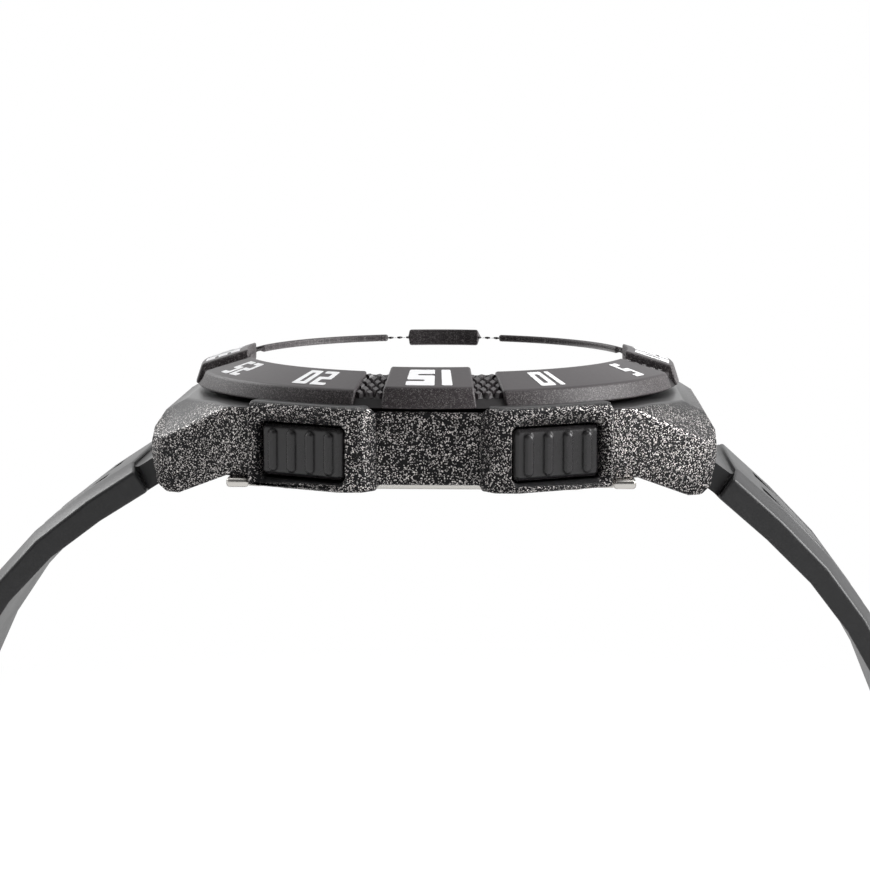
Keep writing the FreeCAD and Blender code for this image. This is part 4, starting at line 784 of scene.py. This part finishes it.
class WATCH_OT_knurls(bpy.types.Operator):
    """Builds the diamond knurling of the eight lands"""
    bl_idname = "watch.knurls"
    bl_label = "Knurled lands"

    def execute(self, context):
        s = sizes()
        half_wide, half_long = 0.445 * MM, 0.735 * MM
        from_block, past_arc = 0.1 * MM, 0.2 * MM
        mesh = bmesh.new()
        for index in range(8):
            middle = (index // 2) * QUARTER
            side = 1 if index % 2 else -1
            for row in range(1, 12, 2):
                radius = s.bezel_inner_radius + (row - 0.5) * half_long * 0.5
                if radius > s.bezel_top_radius - KNURL_INSET:
                    continue
                # Every other row is set over by half a diamond
                shift = 0.5 if (row // 2) % 2 else 0.0
                for column in range(-1, 5):
                    across = block_side(radius) + (column + shift) * 2 * half_wide + from_block
                    if across < arc_side(radius) + past_arc:
                        diamond(mesh, middle, side, across, radius, half_wide, half_long, s)
        bmesh.ops.recalc_face_normals(mesh, faces=mesh.faces)
        resin = moulded_resin("knurl_resin", tuple(colours().bezel_resin), 0.32, gloss=0.5)
        as_piece("bezel_knurls", mesh, resin, "case", smooth=20.0)
        return {"FINISHED"}


class WATCH_OT_numerals(bpy.types.Operator):
    """Paints the minute numerals on the bezel"""
    bl_idname = "watch.numerals"
    bl_label = "Bezel numerals"

    def execute(self, context):
        s = sizes()
        mesh = bmesh.new()
        for minute in range(5, 61, 5):
            clock = QUARTER - minute / 60 * FULL_TURN
            if minute % 15 == 0:
                high, low, centre = s.block_inner_height, s.block_outer_height, 20.2 * MM
                height, width, stroke, gap = 3.15 * MM, 2.35 * MM, 0.84 * MM, 0.6 * MM
            else:
                high, low, centre = s.arc_inner_height, s.arc_outer_height, 20.05 * MM
                height, width, stroke, gap = 2.9 * MM, 1.4 * MM, 0.48 * MM, 0.4 * MM

            def place(x, y, up):
                out = centre + y
                at = clock - x / centre
                share = (out - s.bezel_inner_radius) / (s.bezel_top_radius - s.bezel_inner_radius)
                return Vector((out * math.cos(at), out * math.sin(at), high + (low - high) * share + up))

            numeral_mesh(mesh, str(minute), height, width, stroke, gap, s.numeral_rise, stroke * 0.24,
                         place)
        as_piece("bezel_numerals", mesh, paint("numeral_paint", tuple(colours().numeral_paint)), "case")
        return {"FINISHED"}


# Crystal, pushers and back

BACK_EDGE = 0.14 * MM
CAP_EDGE = 0.24 * MM


class WATCH_OT_crystal(bpy.types.Operator):
    """Dresses the crystal and its gasket"""
    bl_idname = "watch.crystal"
    bl_label = "Crystal"

    def execute(self, context):
        dress("crystal", crystal_glass())
        dress("crystal_gasket", moulded_resin("gasket_rubber", RUBBER_BLACK, 0.6))
        return {"FINISHED"}


class WATCH_OT_pushers(bpy.types.Operator):
    """Dresses the four pushers with their clips, seals and springs"""
    bl_idname = "watch.pushers"
    bl_label = "Pushers"

    def execute(self, context):
        cap = moulded_resin("pusher_resin", tuple(colours().pusher_resin), 0.2, grain=3000.0,
                            depth=0.006 * MM, radius=CAP_EDGE, gloss=0.5)
        wire = brushed_metal("spring_wire", tuple(colours().steel), 0.25)
        rubber = moulded_resin("seal_rubber", RUBBER_BLACK, 0.55)
        for name in ("2", "4", "8", "10"):
            dress(f"pusher_{name}", cap)
            dress(f"pusher_clip_{name}", wire)
            dress(f"pusher_seal_{name}", rubber)
            dress(f"pusher_spring_{name}", wire)
        return {"FINISHED"}


def cut_slot(mesh, centre, half_long, half_wide, depth):
    """Presses a driver slot into the flat underside of a screw head."""
    head_radius, same_level = 1.3 * MM, 0.02 * MM

    def level():
        return [face for face in mesh.faces if face.normal.z < -0.99
                and (face.calc_center_median() - centre).length < head_radius
                and abs(face.calc_center_median().z - centre.z) < same_level]

    for across, half in (((1, 0, 0), half_long), ((0, 1, 0), half_wide)):
        for side in (-1, 1):
            faces = level()
            edges = {edge for face in faces for edge in face.edges}
            verts = {vert for face in faces for vert in face.verts}
            bmesh.ops.bisect_plane(mesh, geom=[*faces, *edges, *verts], dist=SAME_POINT,
                                   plane_co=centre + Vector(across) * (side * half), plane_no=across)
    middle = min(level(), key=lambda face: (face.calc_center_median() - centre).length)
    made = bmesh.ops.extrude_face_region(mesh, geom=[middle])
    bmesh.ops.translate(mesh, verts=added_verts(made), vec=(0, 0, depth))


class WATCH_OT_back(bpy.types.Operator):
    """Softens the case back, adds its ring and feet, and slots its screws"""
    bl_idname = "watch.back"
    bl_label = "Case back"

    def execute(self, context):
        plate = turned_steel()
        softened("case_back", "back_plate", plate, "case", BACK_EDGE)
        self.add_ring(plate)
        self.add_feet()
        self.add_screws()
        dress("case_back_seal", moulded_resin("back_seal_rubber", RUBBER_BLACK, 0.6))
        return {"FINISHED"}

    def add_ring(self, plate):
        """Adds the low ring that is turned on the back."""
        inner, outer, slope, rise = 11.6 * MM, 14.6 * MM, 0.2 * MM, 0.1 * MM
        mesh = bmesh.new()
        spun(mesh, [(inner, rise), (inner + slope, -rise), (outer - slope, -rise), (outer, rise)],
             0.0, FULL_TURN, 96)
        as_piece("back_ring", mesh, plate, "case")

    def add_feet(self):
        """Adds the four steel corners that show under the case beside the guards."""
        size = (1.9 * MM, 2.0 * MM, 0.86 * MM)
        out_x, out_y, height = 17.1 * MM, 17.0 * MM, 0.57 * MM
        mesh = bmesh.new()
        for side in (-1, 1):
            for end in (-1, 1):
                foot = bmesh.ops.create_cube(mesh, size=1.0)["verts"]
                bmesh.ops.scale(mesh, verts=foot, vec=size)
                bmesh.ops.translate(mesh, verts=foot, vec=(side * out_x, end * out_y, height))
        soften(mesh, 0.3 * MM, SHARP_ANGLE, 3)
        as_piece("back_feet", mesh, brushed_metal("foot_steel", tuple(colours().steel), 0.16), "case",
                 smooth=50.0)

    def add_screws(self):
        """Stands slotted screws in for the CAD ones."""
        smallest_head = 1.0 * MM * MM
        mesh = merged_copy("case_back_screws")
        lowest = min(vert.co.z for vert in mesh.verts)
        heads = [face.calc_center_median() for face in mesh.faces
                 if face.normal.z < -0.99 and abs(face.calc_center_median().z - lowest) < 0.02 * MM
                 and face.calc_area() > smallest_head]
        for centre in heads:
            cut_slot(mesh, centre, 0.8 * MM, 0.17 * MM, 0.2 * MM)
        closed(mesh)
        as_piece("back_screws", mesh, brushed_metal("screw_steel", tuple(colours().steel), 0.22), "case",
                 ("case_back_screws",))


# Module, dial and display

class WATCH_OT_module(bpy.types.Operator):
    """Dresses the parts of the module inside the case"""
    bl_idname = "watch.module"
    bl_label = "Module"

    def execute(self, context):
        brass = brushed_metal("train_brass", (0.62, 0.45, 0.16), 0.3)
        steel = brushed_metal("module_steel", (0.55, 0.55, 0.54), 0.28)
        for node, material in (
                ("module_housing", moulded_resin("module_plastic", (0.35, 0.34, 0.31), 0.5)),
                ("circuit_board", moulded_resin("board_lacquer", (0.01, 0.09, 0.03), 0.35)),
                ("battery", steel), ("battery_clamp", steel), ("buzzer", brass),
                ("lcd_connector", moulded_resin("connector_rubber", (0.5, 0.46, 0.36), 0.6)),
                ("motor_coil", brushed_metal("coil_copper", (0.6, 0.24, 0.09), 0.35,
                                             along=(900.0, 9000.0, 900.0))),
                ("motor_stator", steel), ("train_plate", brass), ("train_bridge", brass),
                ("cannon_pinion", brass), ("minute_wheel", brass), ("hour_wheel", brass),
                ("spring_bar_12", steel), ("spring_bar_6", steel)):
            dress(node, material)
        return {"FINISHED"}


class WATCH_OT_dial(bpy.types.Operator):
    """Dresses the dial, the display, the hour markers and the hands"""
    bl_idname = "watch.dial"
    bl_label = "Dial and hands"

    def execute(self, context):
        dress("dial_plate", dial_print())
        dress("chapter_ring", chapter_print())
        dress("lcd_panel", lcd_glass())
        dress("hour_markers", paint("lume_paint", LUME_WHITE, 0.55))
        dress("hour_hand", paint("hour_hand_paint", HAND_WHITE, 0.4))
        dress("minute_hand", paint("minute_hand_paint", HAND_WHITE, 0.4))
        return {"FINISHED"}


class WATCH_OT_display(bpy.types.Operator):
    """Sets the time on the display"""
    bl_idname = "watch.display"
    bl_label = "Display digits"

    def execute(self, context):
        stroke, gap, rise, corner = 0.3 * MM, 0.35 * MM, 0.02 * MM, 0.02 * MM
        low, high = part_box("lcd_panel")
        mesh = bmesh.new()
        for text, x, y, height, width in (("10 09", -1.6, 0.0, 2.9, 1.55), ("36", 4.3, -0.55, 1.8, 1.0)):
            centre = Vector(((low.x + high.x) / 2 + x * MM, (low.y + high.y) / 2 + y * MM, high.z))

            def place(across, along, up):
                return Vector((centre.x + across, centre.y + along, centre.z + up))

            numeral_mesh(mesh, text, height * MM, width * MM, stroke, gap, rise, corner, place)
        as_piece("display_digits", mesh, paint("display_black", DISPLAY_BLACK, 0.4), "case")
        return {"FINISHED"}


# Strap and buckle

STRAP_EDGE, KEEPER_EDGE = 0.3 * MM, 0.2 * MM
FRAME_EDGE, TONGUE_EDGE = 0.15 * MM, 0.12 * MM

# Room that an edge needs beside it, in widths of its rounding
STRAP_REACH = 1.2

# Degrees under which the strap's facets are shaded smooth
STRAP_SMOOTH = 24.0


class WATCH_OT_straps(bpy.types.Operator):
    """Softens and dresses the two strap halves and the keeper"""
    bl_idname = "watch.straps"
    bl_label = "Strap"

    def execute(self, context):
        resin = moulded_resin("strap_resin", tuple(colours().strap_resin), 0.42, grain=1800.0,
                              depth=0.03 * MM, gloss=0.4)
        for node, body, width in (("strap_long", "strap_long", STRAP_EDGE),
                                  ("strap_short", "strap_short", STRAP_EDGE),
                                  ("keeper_loop", "keeper", KEEPER_EDGE)):
            softened(node, f"{node}_soft", resin, body, width, 3, STRAP_REACH,
                     STRAP_SMOOTH)
        return {"FINISHED"}


class WATCH_OT_buckle(bpy.types.Operator):
    """Softens and dresses the buckle, its bar and its tongue"""
    bl_idname = "watch.buckle"
    bl_label = "Buckle"

    def execute(self, context):
        steel = brushed_metal("buckle_steel", tuple(colours().steel), 0.24, along=(60.0, 1400.0, 1400.0))
        for node, body, width in (("buckle_frame", "buckle", FRAME_EDGE),
                                  ("buckle_tongue", "tongue", TONGUE_EDGE)):
            softened(node, f"{node}_soft", steel, body, width, reach=STRAP_REACH)
        dress("buckle_bar", steel)
        return {"FINISHED"}


# Studio

# The photograph's width and the lens's focal length, both in pixels, and the sensor's width in mm
FRAME_PIXELS, FOCAL_PIXELS, SENSOR_WIDTH = 870.0, 2447.0, 36.0

# The camera's distance, sideways shift and height, and the angles of its view in degrees
CAMERA_AWAY, CAMERA_SHIFT, CAMERA_HEIGHT = 230.0 * MM, 0.25 * MM, 33.66 * MM
CAMERA_YAW, CAMERA_PITCH = 2.05, 7.73

FLOOR_HALF = 6.0
FLOOR_SHADE = (0.95, 0.95, 0.95)


def link(name, data):
    """Adds an object to the scene."""
    made = bpy.data.objects.new(name, data)
    bpy.context.scene.collection.objects.link(made)
    return made


def add_camera(scene):
    """Sets the camera where the photograph was taken from."""
    data = bpy.data.cameras.new("camera")
    data.sensor_width = SENSOR_WIDTH
    data.lens = FOCAL_PIXELS / FRAME_PIXELS * SENSOR_WIDTH
    data.clip_start, data.clip_end = 0.01, 20.0
    camera = link("camera", data)
    yaw, pitch = math.radians(CAMERA_YAW), math.radians(CAMERA_PITCH)
    camera.location = (CAMERA_AWAY * math.cos(yaw), CAMERA_AWAY * math.sin(yaw) - CAMERA_SHIFT,
                       CAMERA_HEIGHT)
    ahead = Vector((-math.cos(yaw) * math.cos(pitch), -math.sin(yaw) * math.cos(pitch),
                    -math.sin(pitch)))
    camera.rotation_mode = "QUATERNION"
    camera.rotation_quaternion = ahead.to_track_quat("-Z", "Y")
    scene.camera = camera


def add_floor():
    """Lays a pale floor under the strap."""
    mesh = bmesh.new()
    bmesh.ops.create_grid(mesh, x_segments=1, y_segments=1, size=FLOOR_HALF)
    bmesh.ops.translate(mesh, verts=mesh.verts, vec=(0, 0, CAD_BOX[0].z))
    data = bpy.data.meshes.new("floor")
    mesh.to_mesh(data)
    mesh.free()
    data.materials.append(white_ground("floor_white", FLOOR_SHADE))
    link("floor", data)


def add_sky(scene):
    """Sets a white world that lights softly, with a darker side behind the camera."""
    r = Recipe("studio", bpy.data.worlds)
    camera_ray = r.ray("Camera")
    seen = r.either(r.either(r.ray("Glossy"), r.ray("Transmission")), camera_ray)
    toward = r.part(r.node("ShaderNodeTexCoord", output="Generated"), "X")
    dark_side = r.spread(toward, 0.15, 0.7) * (1.0 - camera_ray)
    bright = r.node("ShaderNodeBackground", None, Color=WHITE, Strength=1.0 - dark_side * 0.85)
    soft = r.node("ShaderNodeBackground", None, Color=WHITE, Strength=0.28 - dark_side * 0.2)
    r.finish(r.node("ShaderNodeMixShader", None, seen, soft, bright), "ShaderNodeOutputWorld")
    scene.world = r.material


def shine(name, location, side, power):
    """Adds a square lamp that is aimed at the watch."""
    data = bpy.data.lights.new(name, "AREA")
    data.shape = "RECTANGLE"
    data.size = data.size_y = side
    data.energy = power
    lamp = link(name, data)
    lamp.location = location
    aim = -Vector(location)
    lamp.rotation_euler = aim.to_track_quat("-Z", "Y").to_euler()


class WATCH_OT_studio(bpy.types.Operator):
    """Sets the camera, the floor, the lamps and the world"""
    bl_idname = "watch.studio"
    bl_label = "Studio"

    def execute(self, context):
        scene = context.scene
        scene.view_settings.view_transform = "Standard"
        add_camera(scene)
        add_floor()
        add_sky(scene)
        shine("lamp_right", (0.04, 0.56, 0.28), 0.35, 6.4)
        shine("lamp_top", (-0.05, 0.05, 0.7), 0.5, 1.2)
        shine("lamp_left", (-0.3, -0.45, 0.3), 0.3, 2.1)
        return {"FINISHED"}


# Panel and registration

class WATCH_PT_panel(bpy.types.Panel):
    """Lists the watch's pieces"""
    bl_idname = "WATCH_PT_panel"
    bl_label = "Watch"
    bl_space_type = "VIEW_3D"
    bl_region_type = "UI"
    bl_category = "Watch"

    def draw(self, context):
        for operator in OPERATORS:
            self.layout.operator(operator.bl_idname)
        for group in (context.scene.watch_sizes, context.scene.watch_colours):
            for name in group.bl_rna.properties.keys():
                if name not in ("rna_type", "name"):
                    self.layout.prop(group, name)


OPERATORS = (WATCH_OT_studio, WATCH_OT_case, WATCH_OT_bezel, WATCH_OT_knurls, WATCH_OT_numerals,
             WATCH_OT_crystal, WATCH_OT_pushers, WATCH_OT_back, WATCH_OT_module, WATCH_OT_dial,
             WATCH_OT_display, WATCH_OT_straps, WATCH_OT_buckle)
CLASSES = (WatchSizes, WatchColours, *OPERATORS, WATCH_PT_panel)


def register():
    for cls in CLASSES:
        bpy.utils.register_class(cls)
    bpy.types.Scene.watch_sizes = bpy.props.PointerProperty(type=WatchSizes)
    bpy.types.Scene.watch_colours = bpy.props.PointerProperty(type=WatchColours)


def unregister():
    del bpy.types.Scene.watch_colours
    del bpy.types.Scene.watch_sizes
    for cls in reversed(CLASSES):
        bpy.utils.unregister_class(cls)


def main():
    """Builds the whole watch."""
    register()
    for operator in OPERATORS:
        group, name = operator.bl_idname.split(".")
        getattr(getattr(bpy.ops, group), name)()


if __name__ == "__main__":
    main()
